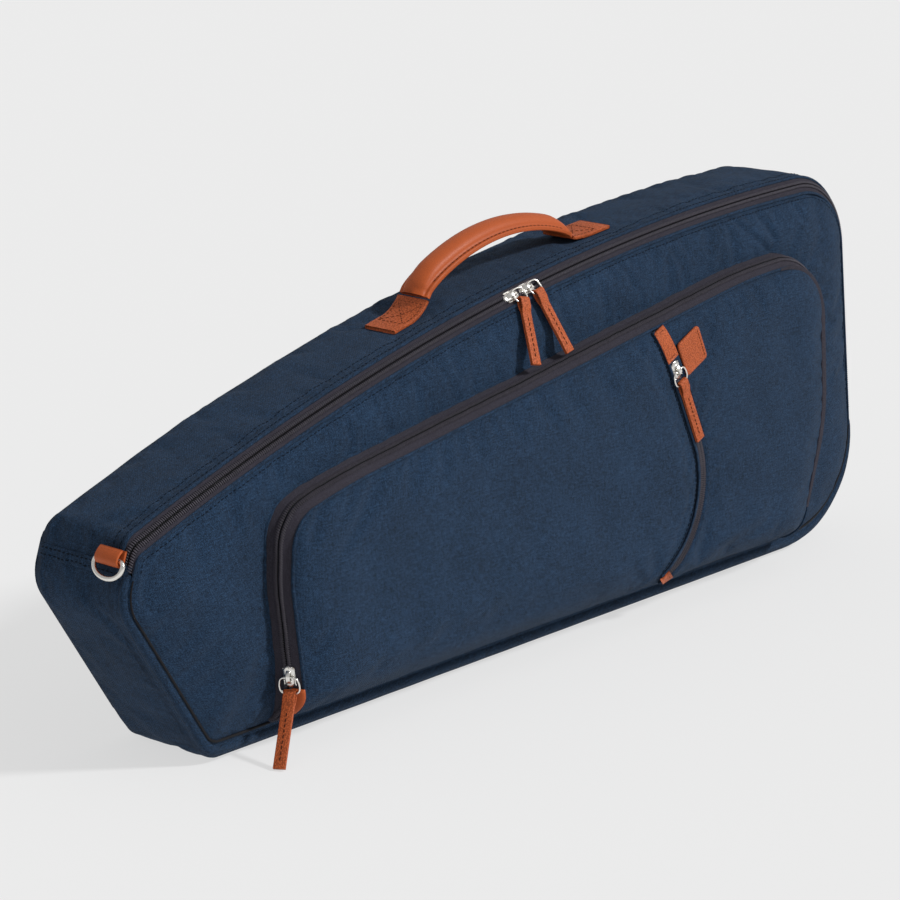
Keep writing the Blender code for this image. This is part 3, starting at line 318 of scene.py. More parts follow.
def mesh_object(name, verts, faces, finish, uvs=None, slots=None):
    """A smooth mesh, given in the bag frame, with one finish or a list of them."""
    mesh = bpy.data.meshes.new(name)
    mesh.from_pydata((np.asarray(verts) + AT).tolist(), [], [list(f) for f in faces])
    mesh.polygons.foreach_set("use_smooth", [True] * len(mesh.polygons))
    for item in finish if isinstance(finish, (list, tuple)) else [finish]:
        mesh.materials.append(MATERIAL[item])
    if slots is not None:
        mesh.polygons.foreach_set("material_index", slots)
    if uvs is not None:
        layer = mesh.uv_layers.new(name="UVMap")
        index = np.empty(len(mesh.loops), int)
        mesh.loops.foreach_get("vertex_index", index)
        layer.data.foreach_set("uv", np.asarray(uvs, np.float32)[index].ravel())
    mesh.validate()
    return add_object(name, mesh)


def grid_faces(rows, cols, wrap=False):
    """Quads of a grid of points, closed along its rows if wrap."""
    across = cols if wrap else cols - 1
    r, c = np.meshgrid(np.arange(rows - 1), np.arange(across), indexing="ij")
    c2 = (c + 1) % cols
    quads = np.stack((r * cols + c, r * cols + c2, (r + 1) * cols + c2, (r + 1) * cols + c), -1)
    return quads.reshape(-1, 4)


def grid_uv(grid):
    """Lengths along the rows and columns of a grid, in metres, for a weave."""
    u = np.concatenate((np.zeros((len(grid), 1)),
                        np.cumsum(np.linalg.norm(np.diff(grid, axis=1), axis=2), 1)), 1)
    v = np.concatenate((np.zeros((1, grid.shape[1])),
                        np.cumsum(np.linalg.norm(np.diff(grid, axis=0), axis=2), 0)), 0)
    return np.stack((u, v), -1).reshape(-1, 2)


def grid_object(name, grid, finish, wrap=False, flip=False):
    """A sheet from a grid of points."""
    faces = grid_faces(*grid.shape[:2], wrap)
    return mesh_object(name, grid.reshape(-1, 3), faces[:, ::-1] if flip else faces, finish, grid_uv(grid))


def grid_normals(grid, wrap=False):
    """Unit normals at the points of a grid."""
    if wrap:
        du = np.roll(grid, -1, 1) - np.roll(grid, 1, 1)
    else:
        du = np.gradient(grid, axis=1)
    return unit(np.cross(du, np.gradient(grid, axis=0)))


def smoothed(values, rounds, wrap=False):
    """A grid of numbers or points, averaged with its neighbours; its border stays."""
    values = values.copy()
    for _ in range(rounds):
        upright = values[:-2] + values[2:]
        if wrap:
            across = np.roll(values, 1, 1) + np.roll(values, -1, 1)
            values[1:-1] = (upright + across[1:-1]) / 4
        else:
            values[1:-1, 1:-1] = (upright[:, 1:-1] + values[1:-1, :-2] + values[1:-1, 2:]) / 4
    return values


def doubled(grid, wrap=False):
    """The same sheet with twice as many rows and columns, rounded between its points."""
    for axis in (0, 1):
        grid = np.swapaxes(grid, 0, axis)
        if wrap and axis == 1:
            before, after, far = (np.roll(grid, step, 0) for step in (1, -1, -2))
            middle = (9 * (grid + after) - before - far) / 16
        else:
            middle = (grid[:-1] + grid[1:]) / 2
            middle[1:-1] = (9 * (grid[1:-2] + grid[2:-1]) - grid[:-3] - grid[3:]) / 16
        fine = np.empty((len(grid) + len(middle), *grid.shape[1:]))
        fine[::2], fine[1::2] = grid, middle
        grid = np.swapaxes(fine, 0, axis)
    return grid


def coons(bottom, top, left, right):
    """A grid of points spread between four border lines, in rows from bottom to top."""
    v = np.linspace(0, 1, len(left))[:, None, None]
    u = np.linspace(0, 1, len(bottom))[None, :, None]
    across = left[:, None] * (1 - u) + right[:, None] * u
    upward = bottom[None] * (1 - v) + top[None] * v
    low = bottom[0] * (1 - u) + bottom[-1] * u
    high = top[0] * (1 - u) + top[-1] * u
    return across + upward - (low * (1 - v) + high * v)


def border(grid):
    """A mask of the points on the border of a grid."""
    held = np.zeros(grid.shape[:2], bool)
    held[:1] = held[-1:] = held[:, :1] = held[:, -1:] = True
    return held


def at_y(flat, y):
    """A grid (x, z) placed at depth y."""
    return np.stack((flat[..., 0], np.broadcast_to(y, flat.shape[:2]), flat[..., 1]), -1)


def panel_grid(edge, inset, cols, rows):
    """A grid (x, z) over the bag's whole side."""
    line = looped(np.roll(outline(edge, inset), -(MARK["heel"] + 4), 0))
    cut = [MARK[name] + half - 4 for name, half in (("foot", 8), ("crown", 7), ("shoulder", 3))]
    bottom = resample(line[:cut[0] + 1], cols)
    right = resample(line[cut[0]:cut[1] + 1], rows)
    top = resample(line[cut[1]:cut[2] + 1], cols)[::-1]
    left = resample(line[cut[2]:], rows)[::-1]
    return coons(bottom, top, left, right)


def ripple(points, size, seed):
    """Soft irregular waves at points (..., 3), about -1 to 1 high and size metres long."""
    rng = np.random.default_rng(seed)
    total = np.zeros(points.shape[:-1])
    for octave in range(3):
        for _ in range(5):
            way = unit(rng.normal(size=3)) * 2 * math.pi / (size / 1.9 ** octave)
            total += np.sin(points @ way + rng.uniform(0, 6.3)) * 0.62 ** octave
    return total / 4.2


def crease(points, start, end, width, height):
    """Height of a soft ridge, or of a dent if height is negative, between two points (x, z)."""
    start, end = np.array(start), np.array(end)
    d = end - start
    along = ((points - start) @ d) / (d @ d)
    off = np.linalg.norm(points - start - np.clip(along, 0, 1)[..., None] * d, axis=-1)
    fade = np.clip(1.15 - abs(2 * along - 1) ** 3, 0, 1)
    return height * np.exp(-(off / width) ** 2) * fade


def creased(flat, creases):
    """The summed height of several creases at points (x, z)."""
    return sum(crease(flat, *marks) for marks in creases)


CLOTH_FRAMES = 20


def inflated(name, grid, pinned, pressure, slack, cap, wrap=False, flip=False):
    """The sheet after a cloth simulation that blows it out a little, held at its pinned points."""
    sheet = grid_object(name + "_sim", grid, "navy_cloth", wrap, flip)
    group = sheet.vertex_groups.new(name="held")
    group.add(np.flatnonzero(pinned.ravel()).tolist(), 1.0, "REPLACE")
    step = sheet.modifiers.new("cloth", "CLOTH")
    cloth = step.settings
    cloth.quality = 5
    cloth.mass = 0.25
    cloth.tension_stiffness = cloth.compression_stiffness = 18
    cloth.shear_stiffness = 6
    cloth.bending_stiffness = 3
    cloth.vertex_group_mass = "held"
    cloth.use_pressure = True
    cloth.uniform_pressure_force = pressure
    cloth.shrink_min = -slack
    cloth.effector_weights.gravity = 0
    step.point_cache.frame_end = CLOTH_FRAMES
    for number in range(1, CLOTH_FRAMES + 1):
        bpy.context.scene.frame_set(number)
    shape = sheet.evaluated_get(bpy.context.evaluated_depsgraph_get()).data
    found = np.empty(len(shape.vertices) * 3, np.float32)
    shape.vertices.foreach_get("co", found)
    moved = found.reshape(grid.shape).astype(float) - AT - grid
    bpy.data.objects.remove(sheet, do_unlink=True)
    bpy.context.scene.frame_set(1)
    size = np.maximum(np.linalg.norm(moved, axis=2, keepdims=True), 1e-9)
    return grid + moved * (cap * np.tanh(size / cap) / size)


def surface(grid, wrap=False):
    """A tree for finding where a line meets a sheet."""
    return BVHTree.FromPolygons(grid.reshape(-1, 3).tolist(), grid_faces(*grid.shape[:2], wrap).tolist())


def drape(tree, points, way, lift):
    """Points moved along way onto a sheet and lifted off it, with the sheet's normals."""
    way = Vector(way)
    landed, normals = [], []
    for point in points:
        hit, normal = tree.ray_cast(Vector(point) - way * 0.2, way)[:2]
        if hit is None:
            hit, normal = tree.find_nearest(Vector(point))[:2]
        if normal.dot(way) > 0:
            normal = -normal
        landed.append(hit + normal * lift)
        normals.append(normal)
    return np.array(landed), np.array(normals)


def tangents(path, closed=False):
    """Unit directions along a path."""
    if closed:
        return unit(np.roll(path, -1, 0) - np.roll(path, 1, 0))
    return unit(np.gradient(path, axis=0))


def sweep(path, normals, section, closed=False, scale=None):
    """Vertices, faces and uvs of a section, a ring of (across, up), carried along a path."""
    along = tangents(path, closed)
    across = unit(np.cross(along, normals))
    up = np.cross(across, along)
    section = np.broadcast_to(section, (len(path), *np.shape(section)[-2:]))
    if scale is not None:
        section = section * np.asarray(scale)[:, None, None]
    verts = path[:, None] + across[:, None] * section[..., :1] + up[:, None] * section[..., 1:]
    rows, cols = verts.shape[:2]
    faces = grid_faces(rows, cols, wrap=True).tolist()
    if closed:
        last = (rows - 1) * cols
        faces += [[last + k, last + (k + 1) % cols, (k + 1) % cols, k] for k in range(cols)]
    else:
        faces += [list(range(cols)), list(range((rows - 1) * cols, rows * cols))[::-1]]
    uvs = grid_uv(verts)
    return verts.reshape(-1, 3), [face[::-1] for face in faces], uvs


def joined(parts):
    """Several (verts, faces, uvs) made one."""
    verts, faces, uvs, total = [], [], [], 0
    for part_verts, part_faces, part_uvs in parts:
        verts.append(part_verts)
        uvs.append(part_uvs)
        faces += [[index + total for index in face] for face in part_faces]
        total += len(part_verts)
    return np.concatenate(verts), faces, np.concatenate(uvs)


def round_section(width, height, radius, steps=4):
    """A rectangle with round corners, as a ring of (across, up)."""
    points = []
    for turn, (sx, sy) in enumerate(((1, 1), (-1, 1), (-1, -1), (1, -1))):
        for k in range(steps + 1):
            angle = math.pi / 2 * (turn + k / steps)
            points.append((sx * (width / 2 - radius) + radius * math.cos(angle),
                           sy * (height / 2 - radius) + radius * math.sin(angle)))
    return np.array(points)


def wire_section(radius, sides=10):
    """A round section."""
    angle = np.linspace(0, 2 * math.pi, sides, endpoint=False)
    return np.stack((np.cos(angle), np.sin(angle)), 1) * radius


def beads(centres, along, across, normal, size, sides=6):
    """Many small rounded bars in one mesh: stitches or zip teeth. size is (length, width, height)."""
    ring = wire_section(1.0, sides)
    template = [(-0.5, 0, 0)]
    for x, r in ((-0.43, 0.62), (-0.2, 1.0), (0.2, 1.0), (0.43, 0.62)):
        template += [(x, r * c / 2, r * s / 2) for c, s in ring]
    template.append((0.5, 0, 0))
    faces = [[0, 1 + k, 1 + (k + 1) % sides] for k in range(sides)]
    for level in range(3):
        low = 1 + level * sides
        for k in range(sides):
            after = (k + 1) % sides
            faces.append([low + k, low + sides + k, low + sides + after, low + after])
    tip, low = len(template) - 1, 1 + 3 * sides
    faces += [[tip, low + (k + 1) % sides, low + k] for k in range(sides)]
    shape = np.array(template) * size
    verts = (centres[:, None] + along[:, None] * shape[None, :, :1]
             + across[:, None] * shape[None, :, 1:2] + normal[:, None] * shape[None, :, 2:])
    count = len(template)
    every = [[index + n * count for index in face] for n in range(len(centres)) for face in faces]
    return verts.reshape(-1, 3), every, np.zeros((len(centres) * count, 2))


def stitches(path, normals, length, gap, width):
    """A row of stitches that lie along a path."""
    along = lengths(path)
    at = np.arange(length, along[-1] - length / 2, length + gap)
    normal = unit(picked(at, along, normals))
    way = unit(picked(at, along, tangents(path)))
    return beads(picked(at, along, path), way, np.cross(normal, way), normal, (length, width, width * 0.8))


def ride(piece, body, slot, *nodes):
    """Put a piece on its body, or for the bent lid bake its place into its mesh, and hide the nodes it
    stands for; slot is not used.
    """
    if body == BENT_LID:
        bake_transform(piece)
    else:
        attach(piece, body)
    if nodes:
        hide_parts(*nodes)
    return piece


def put(name, form, finish, body, *nodes, slot=None):
    """Make a piece from (verts, faces, uvs) and ride it on its body."""
    verts, faces, uvs = form
    piece = mesh_object(name, verts, faces, finish, uvs)
    return ride(piece, body, slot or SLOT_OF.get(finish, finish), *nodes)


# ---------------------------------------------------------------- materials

MATERIAL = {}
NYLON = (0.3, 700.0, 3.0, 0.7, 1.35)            # specular, grain scale, detail, dark and light tints
SEWING_THREAD = (0.1, 2600.0, 2.0, 0.6, 1.3)


class Shader:
    """A Principled material and a short way to add nodes to it."""

    def __init__(self, name, colour, roughness, metallic=0.0, **more):
        self.material = bpy.data.materials.new(name)
        self.material.use_nodes = True
        self.tree = self.material.node_tree
        self.main = self.tree.nodes["Principled BSDF"]
        self.main.inputs["Base Color"].default_value = (*colour, 1)
        self.main.inputs["Roughness"].default_value = roughness
        self.main.inputs["Metallic"].default_value = metallic
        for socket, value in more.items():
            self.main.inputs[socket.replace("_", " ")].default_value = value
        self.material.diffuse_color = (*colour, 1)
        MATERIAL[name] = self.material

    def node(self, kind, inputs=None, **settings):
        """Add a node; inputs maps socket names or numbers to values or to other sockets."""
        node = self.tree.nodes.new("ShaderNode" + kind)
        for key, value in settings.items():
            setattr(node, key, value)
        for key, value in (inputs or {}).items():
            if isinstance(value, bpy.types.NodeSocket):
                self.tree.links.new(value, node.inputs[key])
            else:
                node.inputs[key].default_value = value
        return node

    def link(self, output, socket):
        self.tree.links.new(output, self.main.inputs[socket])

    def coords(self, scale=(1, 1, 1), metres=True):
        """UV in metres, or object space, stretched by scale."""
        source = self.node("TexCoord").outputs["UV" if metres else "Object"]
        return self.node("Mapping", {"Vector": source, "Scale": scale}).outputs["Vector"]

    def noise(self, vector, scale, detail=3.0, roughness=0.6):
        inputs = {"Vector": vector, "Scale": scale, "Detail": detail, "Roughness": roughness}
        return self.node("TexNoise", inputs).outputs["Fac"]

    def math(self, operation, a, b):
        return self.node("Math", {0: a, 1: b}, operation=operation).outputs[0]

    def mixed(self, *terms):
        """The sum of several (socket, weight) pairs."""
        parts = [self.math("MULTIPLY", socket, weight) for socket, weight in terms]
        while len(parts) > 1:
            parts[:2] = [self.math("ADD", parts[0], parts[1])]
        return parts[0]

    def ramp(self, factor, stops):
        """Colours or greys by factor; stops are (place, value) pairs."""
        node = self.node("ValToRGB", {"Fac": factor})
        ramp = node.color_ramp
        while len(ramp.elements) < len(stops):
            ramp.elements.new(0.5)
        for element, (place, value) in zip(ramp.elements, stops):
            element.position = place
            element.color = (*value, 1) if isinstance(value, tuple) else (value, value, value, 1)
        return node.outputs["Color"]

    def bump(self, height, distance, strength=1.0):
        inputs = {"Height": height, "Distance": distance, "Strength": strength}
        self.link(self.node("Bump", inputs).outputs["Normal"], "Normal")


def threads(shader, pitch):
    """A plain weave: the height of its warp and weft threads, 0 to 1, and a mask of the warp."""
    turn = math.pi / pitch
    split = shader.node("SeparateXYZ", {0: shader.coords()})
    waves = []
    for axis in (0, 1):
        waves.append(shader.math("SINE", shader.math("MULTIPLY", split.outputs[axis], turn), 0.0))
    both = shader.math("MULTIPLY", waves[0], waves[1])
    mask = shader.math("GREATER_THAN", both, 0.0)
    sides = [shader.math("ABSOLUTE", wave, 0.0) for wave in waves]
    warp = shader.math("MULTIPLY", mask, sides[0])
    weft = shader.math("MULTIPLY", shader.math("SUBTRACT", 1.0, mask), sides[1])
    return shader.math("ADD", warp, weft), mask


def tinted(colour, factor):
    """A colour made lighter or darker."""
    return tuple(min(1.0, c * factor) for c in colour)


def woven(name, colour, pitch, roughness, heather, bump, sheen):
    """Cloth: a plain weave with uneven yarns and flecks and painted shade between its threads, in metres of
    uv.
    """
    shader = Shader(name, colour, roughness, Sheen_Weight=sheen, Sheen_Roughness=0.5,
                    Specular_IOR_Level=0.15)
    height, mask = threads(shader, pitch)
    warp_yarn = shader.noise(shader.coords((0.5 / pitch, 0.12 / pitch, 1)), 1.0, 3.0, 0.7)
    weft_yarn = shader.noise(shader.coords((0.12 / pitch, 0.5 / pitch, 1)), 1.0, 3.0, 0.7)
    yarn = shader.node("Mix", {"Factor": mask, "A": weft_yarn, "B": warp_yarn}).outputs[0]
    fleck = shader.noise(shader.coords(), 0.8 / pitch, 3.0, 0.7)
    cloud = shader.noise(shader.coords(), 26.0, 2.0, 0.5)
    # height lightens the threads' crowns and darkens the dips between them: painted shade; yarn, fleck and
    # cloud are uneven tone
    total = shader.mixed((yarn, 0.38), (fleck, 0.48), (height, 0.08), (cloud, 0.06))
    stops = [(0.38, tinted(colour, 1 - heather)), (0.50, colour), (0.62, tinted(colour, 1 + 1.6 * heather))]
    shader.link(shader.ramp(total, stops), "Base Color")
    shader.bump(shader.mixed((height, 1.0), (yarn, 0.8)), bump)


def leather(name, colour, cell, roughness, depth, contrast=1.0):
    """Grained leather: rounded cells with creases painted dark as shade between them, and uneven dye."""
    shader = Shader(name, colour, roughness, Specular_IOR_Level=0.26)
    place = shader.coords(metres=False)
    cells = shader.node("TexVoronoi", {"Vector": place, "Scale": 1 / cell}, feature="SMOOTH_F1")
    cells.inputs["Smoothness"].default_value = 0.35
    pebble = shader.ramp(cells.outputs["Distance"], [(0.0, 1.0), (0.40, 0.70), (0.70, 0.0)])
    fine = shader.noise(place, 2.2 / cell, 4.0, 0.7)
    broad = shader.noise(place, 55.0, 3.0, 0.6)
    total = shader.mixed((pebble, 0.50), (fine, 0.28), (broad, 0.28))
    # pebble is 1 in each cell's middle and 0 in the creases; in the colour it paints the shade of the
    # creases, in the bump it is the grain
    stops = [(0.32, tinted(colour, 1 - 0.55 * contrast)), (0.52, tinted(colour, 1 - 0.12 * contrast)),
             (0.76, tinted(colour, 1 + 0.15 * contrast))]
    shader.link(shader.ramp(total, stops), "Base Color")
    shader.link(shader.ramp(total, [(0.35, roughness + 0.22), (0.7, roughness)]), "Roughness")
    shader.bump(shader.mixed((pebble, 1.0), (fine, 0.5)), depth)


def polished(name, colour, roughness):
    """Plated metal with faint wear."""
    shader = Shader(name, colour, roughness, metallic=1.0)
    haze = shader.noise(shader.coords(metres=False), 420.0, 5.0, 0.7)
    shader.link(shader.ramp(haze, [(0.35, roughness), (0.75, roughness + 0.2)]), "Roughness")
    shader.bump(shader.noise(shader.coords(metres=False), 900.0), 0.00004, 0.4)


def speckled(name, colour, roughness, specular, scale, detail, dark, light):
    """Nylon or thread: one colour with fine specks, darker and lighter."""
    shader = Shader(name, colour, roughness, Specular_IOR_Level=specular)
    grain = shader.noise(shader.coords(metres=False), scale, detail)
    stops = [(0.3, tinted(colour, dark)), (0.7, tinted(colour, light))]
    shader.link(shader.ramp(grain, stops), "Base Color")


def make_materials():
    """Every finish in the scene."""
    woven("navy_cloth", (0.0108, 0.0270, 0.0565), 0.00078, 0.9, 0.92, 0.00024, 0.03)
    woven("zip_tape", (0.034, 0.031, 0.042), 0.00065, 0.92, 0.40, 0.00014, 0.02)
    woven("lining_cloth", (0.045, 0.046, 0.052), 0.0005, 0.95, 0.25, 0.0001, 0.35)
    speckled("zip_coil", (0.055, 0.050, 0.064), 0.60, *NYLON)
    # near-black painted shade: the gap under a zip's teeth and the groove of the front seam
    speckled("zip_gap", (0.005, 0.005, 0.007), 0.85, *NYLON)
    leather("tan_leather", (0.44, 0.092, 0.025), 0.0010, 0.46, 0.00020, 0.7)
    leather("grip_leather", (0.44, 0.088, 0.020), 0.0004, 0.40, 0.00001, 0.35)
    leather("leather_edge", (0.26, 0.070, 0.026), 0.0008, 0.6, 0.00006)
    polished("nickel", (0.80, 0.78, 0.74), 0.17)
    speckled("navy_thread", (0.004, 0.008, 0.016), 0.8, *SEWING_THREAD)
    speckled("tan_thread", (0.070, 0.020, 0.010), 0.8, *SEWING_THREAD)


# ---------------------------------------------------------------- shell

PATCH_HOLD = (0.004, 0.018)     # how far a strap patch holds the cloth, past its ends and from its middle
LOOP_HOLD = 0.014               # how far a ring's loop holds it
HEM_INSETS = (0.0018, 0.0014, 0.0006, 0.0, 0.0)
HEM_DEPTHS = (0.0012, 0.0002, -0.0003, 0.0004, 0.0016)
EDGE_SHARES = (1.0, 0.78, 0.46, 0.20, 0.05)
EDGE_DEPTHS = (0.0003, 0.0011, 0.0030, 0.0058, 0.0085)


def gusset_grid():
    """The four walls as rings round the bag, front to back."""
    zipped = np.zeros(len(SIDE), bool)
    zipped[ZIP_FROM:ZIP_TO + 1] = True
    rows = []
    for share, depth, inset, hem in zip(EDGE_SHARES, EDGE_DEPTHS, HEM_INSETS, HEM_DEPTHS):
        plain = at_depth(outline(share), depth)
        hemmed = at_depth(outline(0.0, inset), EDGE_DEPTH + hem)
        rows.append(np.where(zipped[:, None], hemmed, plain))
    for y in np.linspace(0.0128, DEPTH - 0.0105, 17):
        rows.append(at_depth(outline(), y))
    for share, depth in zip(EDGE_SHARES[::-1], EDGE_DEPTHS[::-1]):
        rows.append(at_depth(outline(share), DEPTH - depth))
    return np.array(rows)


def gusset_held(grid):
    """The points of the walls that a seam or a sewn piece holds."""
    held = np.zeros(grid.shape[:2], bool)
    held[:6] = held[-4:] = True
    held[:, ZIP_TO - 1:ZIP_TO + 2] = True
    x, y, z = np.moveaxis(grid, -1, 0)
    for start, end in PATCH_X.values():
        over = (x > start - PATCH_HOLD[0]) & (x < end + PATCH_HOLD[0])
        held |= over & (abs(y - HANDLE_Y) < PATCH_HOLD[1]) & (z > 0.2)
    held |= (x < -0.36) & (abs(y - NARROW_RING_Y) < LOOP_HOLD) & (abs(z - 0.15) < LOOP_HOLD)
    held |= (x > 0.36) & (abs(y - DEPTH / 2) < LOOP_HOLD) & (abs(z - 0.195) < LOOP_HOLD)
    return held


def make_gusset():
    """The cloth walls between the front and the back."""
    grid = gusset_grid()
    held = gusset_held(grid)
    grid = inflated("gusset", grid, held, pressure=5.0, slack=0.012, cap=0.0030, wrap=True, flip=True)
    free = smoothed(np.where(held, 0.0, 1.0), 3, wrap=True)
    normal = -grid_normals(grid, wrap=True)
    facing = ((grid - grid.mean((0, 1))) * normal).sum(2) > 0
    normal = np.where(facing[..., None], normal, -normal)
    grid = grid + normal * (free * 0.0011 * ripple(grid, size=0.085, seed=3))[..., None]
    grid = doubled(grid, wrap=True)
    grid[..., 2] = np.maximum(grid[..., 2], 0.0003)
    cover = grid_object("gusset_cover", grid, "navy_cloth", wrap=True, flip=True)
    walls = ("top", "wide_end", "bottom", "narrow_end")
    nodes = [wall + kind for wall in walls for kind in ("_gusset", "_foam")]
    ride(cover, "shell", "navy_cloth", *nodes)
    return grid


def make_back():
    """The back panel, a shallow cushion inside its seam."""
    flat = panel_grid(1.0, 0.0002, 120, 46)
    far = rim_distance(flat, looped(outline(1.0)))
    rise = smoothed(BACK_CROWN * (1 - np.exp(-far / 0.012)), 6)
    grid = at_y(flat, DEPTH - 0.0003 + rise)
    grid = inflated("back", grid, border(grid), pressure=3.0, slack=0.008, cap=0.0026)
    grid[..., 1] += 0.0009 * np.clip(far / 0.03, 0, 1) * ripple(grid, size=0.16, seed=11)
    cover = grid_object("back_cover", doubled(grid), "navy_cloth", flip=True)
    ride(cover, "shell", "navy_cloth", "back_panel", "back_foam")


def make_lid():
    """The front panel: a padded crown that the pocket holds down in its middle."""
    flat = panel_grid(1.0, 0.0003, 170, 64)
    rim = looped(outline(1.0))
    rise = smoothed(LID_CROWN * (1 - np.exp(-rim_distance(flat, rim) / LID_SOFTNESS)), 14)
    grid = at_y(flat, 0.0003 - rise)
    held = border(grid) | inside_pocket(flat, 0.002)
    grid = doubled(inflated("lid", grid, held, pressure=6.0, slack=0.010, cap=0.0026))
    flat = grid[..., [0, 2]]
    free = np.clip(rim_distance(flat, rim) / 0.02, 0, 1)
    grid[..., 1] -= free * 0.0007 * ripple(grid, size=0.07, seed=5) + creased(flat, LID_CREASES)
    cover = grid_object("lid_cover", grid, "navy_cloth")
    ride(cover, BENT_LID, "navy_cloth", "front_panel", "front_foam")
    return grid


def inside_pocket(flat, margin):
    """Which points (x, z) of a grid lie under the pocket."""
    line = looped(pocket_outline(margin))
    a, b = line[:-1], line[1:]
    x, z = flat[..., 0, None], flat[..., 1, None]
    spans = (a[:, 1] > z) != (b[:, 1] > z)
    slope = (b[:, 0] - a[:, 0]) / np.where(b[:, 1] == a[:, 1], 1e-9, b[:, 1] - a[:, 1])
    cross = spans & (x < a[:, 0] + slope * (z - a[:, 1]))
    return cross.sum(-1) % 2 == 1


def make_linings():
    """The lining inside the walls and back, and inside the lid."""
    inset = 0.0105
    rows = [at_depth(outline(0.5, 0.0012), EDGE_DEPTH * 0.5 + 0.001),
            at_depth(outline(0.3, 0.006), EDGE_DEPTH + 0.001)]
    rows += [at_depth(outline(0.0, inset), y) for y in np.linspace(EDGE_DEPTH + 0.003, DEPTH - 0.004, 14)]
    rows.append(at_depth(outline(0.0, inset + 0.003), DEPTH - 0.0015))
    grid = np.array(rows)
    grid[2:-1] += (0.0007 * ripple(grid[2:-1], size=0.06, seed=21))[..., None] * np.array((0, 0, 1))
    walls = grid_object("lining_walls", grid, "lining_cloth", wrap=True)
    ride(walls, "shell", "lining_cloth", "gusset_lining")
    grid = at_y(panel_grid(0.0, inset + 0.0015, 100, 40), DEPTH - 0.0018)
    grid[1:-1, 1:-1, 1] -= 0.0010 * (1 + ripple(grid, size=0.09, seed=22))[1:-1, 1:-1]
    ride(grid_object("lining_back", grid, "lining_cloth"), "shell", "lining_cloth", "back_lining")
    flat = panel_grid(1.0, 0.0008, 120, 46)
    far = rim_distance(flat, looped(outline(1.0)))
    grid = at_y(flat, 0.0005 + 0.0016 * (1 - np.exp(-far / 0.010)))
    grid[1:-1, 1:-1, 1] += 0.0005 * ripple(grid, size=0.09, seed=23)[1:-1, 1:-1]
    lid = grid_object("lining_lid", grid, "lining_cloth", flip=True)
    ride(lid, BENT_LID, "lining_cloth", "front_lining")


# ---------------------------------------------------------------- zips

TAPE_SHARES = (0.0, 0.25, 0.5, 0.66, 0.70, 0.735, 0.80, 0.88, 0.93, 0.955, 0.975)
TAPE_LIFTS = (0.0, 0.0001, 0.0001, 0.0001, 0.0002, 0.0003, 0.0003, 0.0002, 0.0, -0.0004, -0.0009)
TAPE_ROWS = 4                   # rows of tape before the strip painted near-black as shade between the teeth
TOOTH = (0.0034, 0.00105, 0.0014)
TOOTH_PITCH = 0.0016
WIDE_BAND = 0.0055              # half a zip's width, above which its teeth lie further in
ZIP_STEP = 0.0028
HEM_PAST = 2                    # outline steps that the hems run on past the zip


def zip_half(edge, middle, normal, phase):
    """One side of a zip from its sewn edge to its middle line: the tape, its middle rows painted near-black
    as the shade under the teeth, and its teeth.
    """
    rows = [edge + (middle - edge) * share + normal * lift for share, lift in zip(TAPE_SHARES, TAPE_LIFTS)]
    grid = np.array(rows)
    faces = grid_faces(*grid.shape[:2])
    tape = TAPE_ROWS * (grid.shape[1] - 1)
    along = lengths(middle)
    at = np.arange(TOOTH_PITCH * (0.5 + phase), along[-1], TOOTH_PITCH)
    reach = picked(at, along, middle - edge)
    across, up = unit(reach), unit(picked(at, along, normal))
    wide = np.linalg.norm(reach, axis=1)[:, None] > WIDE_BAND
    offset = np.where(wide, up * 0.0006 - across * 0.0021, up * 0.0005 - across * 0.0016)
    centre = picked(at, along, middle) + offset
    teeth = beads(centre, across, unit(np.cross(up, across)), up, TOOTH)
    part = joined([(grid.reshape(-1, 3), faces.tolist(), grid_uv(grid)), teeth])
    # slot 0 is the tape, slot 2 the middle rows painted near-black as shade under the teeth, slot 1 the
    # teeth
    return part, [0] * tape + [2] * (len(faces) - tape) + [1] * (len(part[1]) - len(faces))


def zip_object(name, *halves):
    """One mesh of one or two sides of a zip."""
    verts, faces, uvs = joined([part for part, _ in halves])
    slots = [slot for _, part_slots in halves for slot in part_slots]
    return mesh_object(name, verts, faces, ["zip_tape", "zip_coil", "zip_gap"], uvs, slots)


def hem(name, path, normals, radius, body):
    """The rolled edge of cloth beside a zip."""
    section = wire_section(radius, 8) * np.array((1.25, 0.8))
    put(name, sweep(path, normals, section), "navy_cloth", body)


def band_normals(middle, across, axis):
    """Unit normals of a band along its middle line, turned to point down an axis."""
    normal = unit(np.cross(tangents(middle), across))
    return np.where(normal[:, axis, None] > 0, -normal, normal)


def main_zip_line(share, past=0):
    """A line along the main zip: share 0 at the shell's cloth, 1 at the lid's."""
    line = at_depth(outline(share)[ZIP_FROM - past:ZIP_TO + 1 + past], EDGE_DEPTH * (1 - share))
    return resample(line, int(1.2 / ZIP_STEP))


def make_main_zip():
    """The long zip along the top and down the wide end."""
    edge, middle, lid = (main_zip_line(share) for share in (0.0, 0.5, 1.0))
    normal = band_normals(middle, lid - edge, 1)
    middle = middle + normal * 0.0008
    body = zip_object("main_zip_body", zip_half(edge, middle, normal, 0.0))
    ride(body, "shell", "zip_tape", "main_zip_body_tape", "main_zip_body_coil")
    piece = zip_object("main_zip_lid", zip_half(lid, middle, normal, 0.5))
    ride(piece, BENT_LID, "zip_tape", "main_zip_lid_tape", "main_zip_lid_coil")
    edge, lid = (main_zip_line(share, HEM_PAST) for share in (0.0, 1.0))
    normal = band_normals(edge, lid - edge, 1)
    hem("main_zip_hem_shell", edge + normal * 0.0003, normal, 0.0010, "shell")
    hem("main_zip_hem_lid", lid + normal * 0.0002, normal, 0.0010, BENT_LID)


# ---------------------------------------------------------------- pocket

def swell(z):
    """Share of its depth that the pocket has at height z."""
    return np.sin(np.clip((z - POCKET_FOOT_Z) / POCKET_RISE, 0, 1) * math.pi / 2) ** 0.65


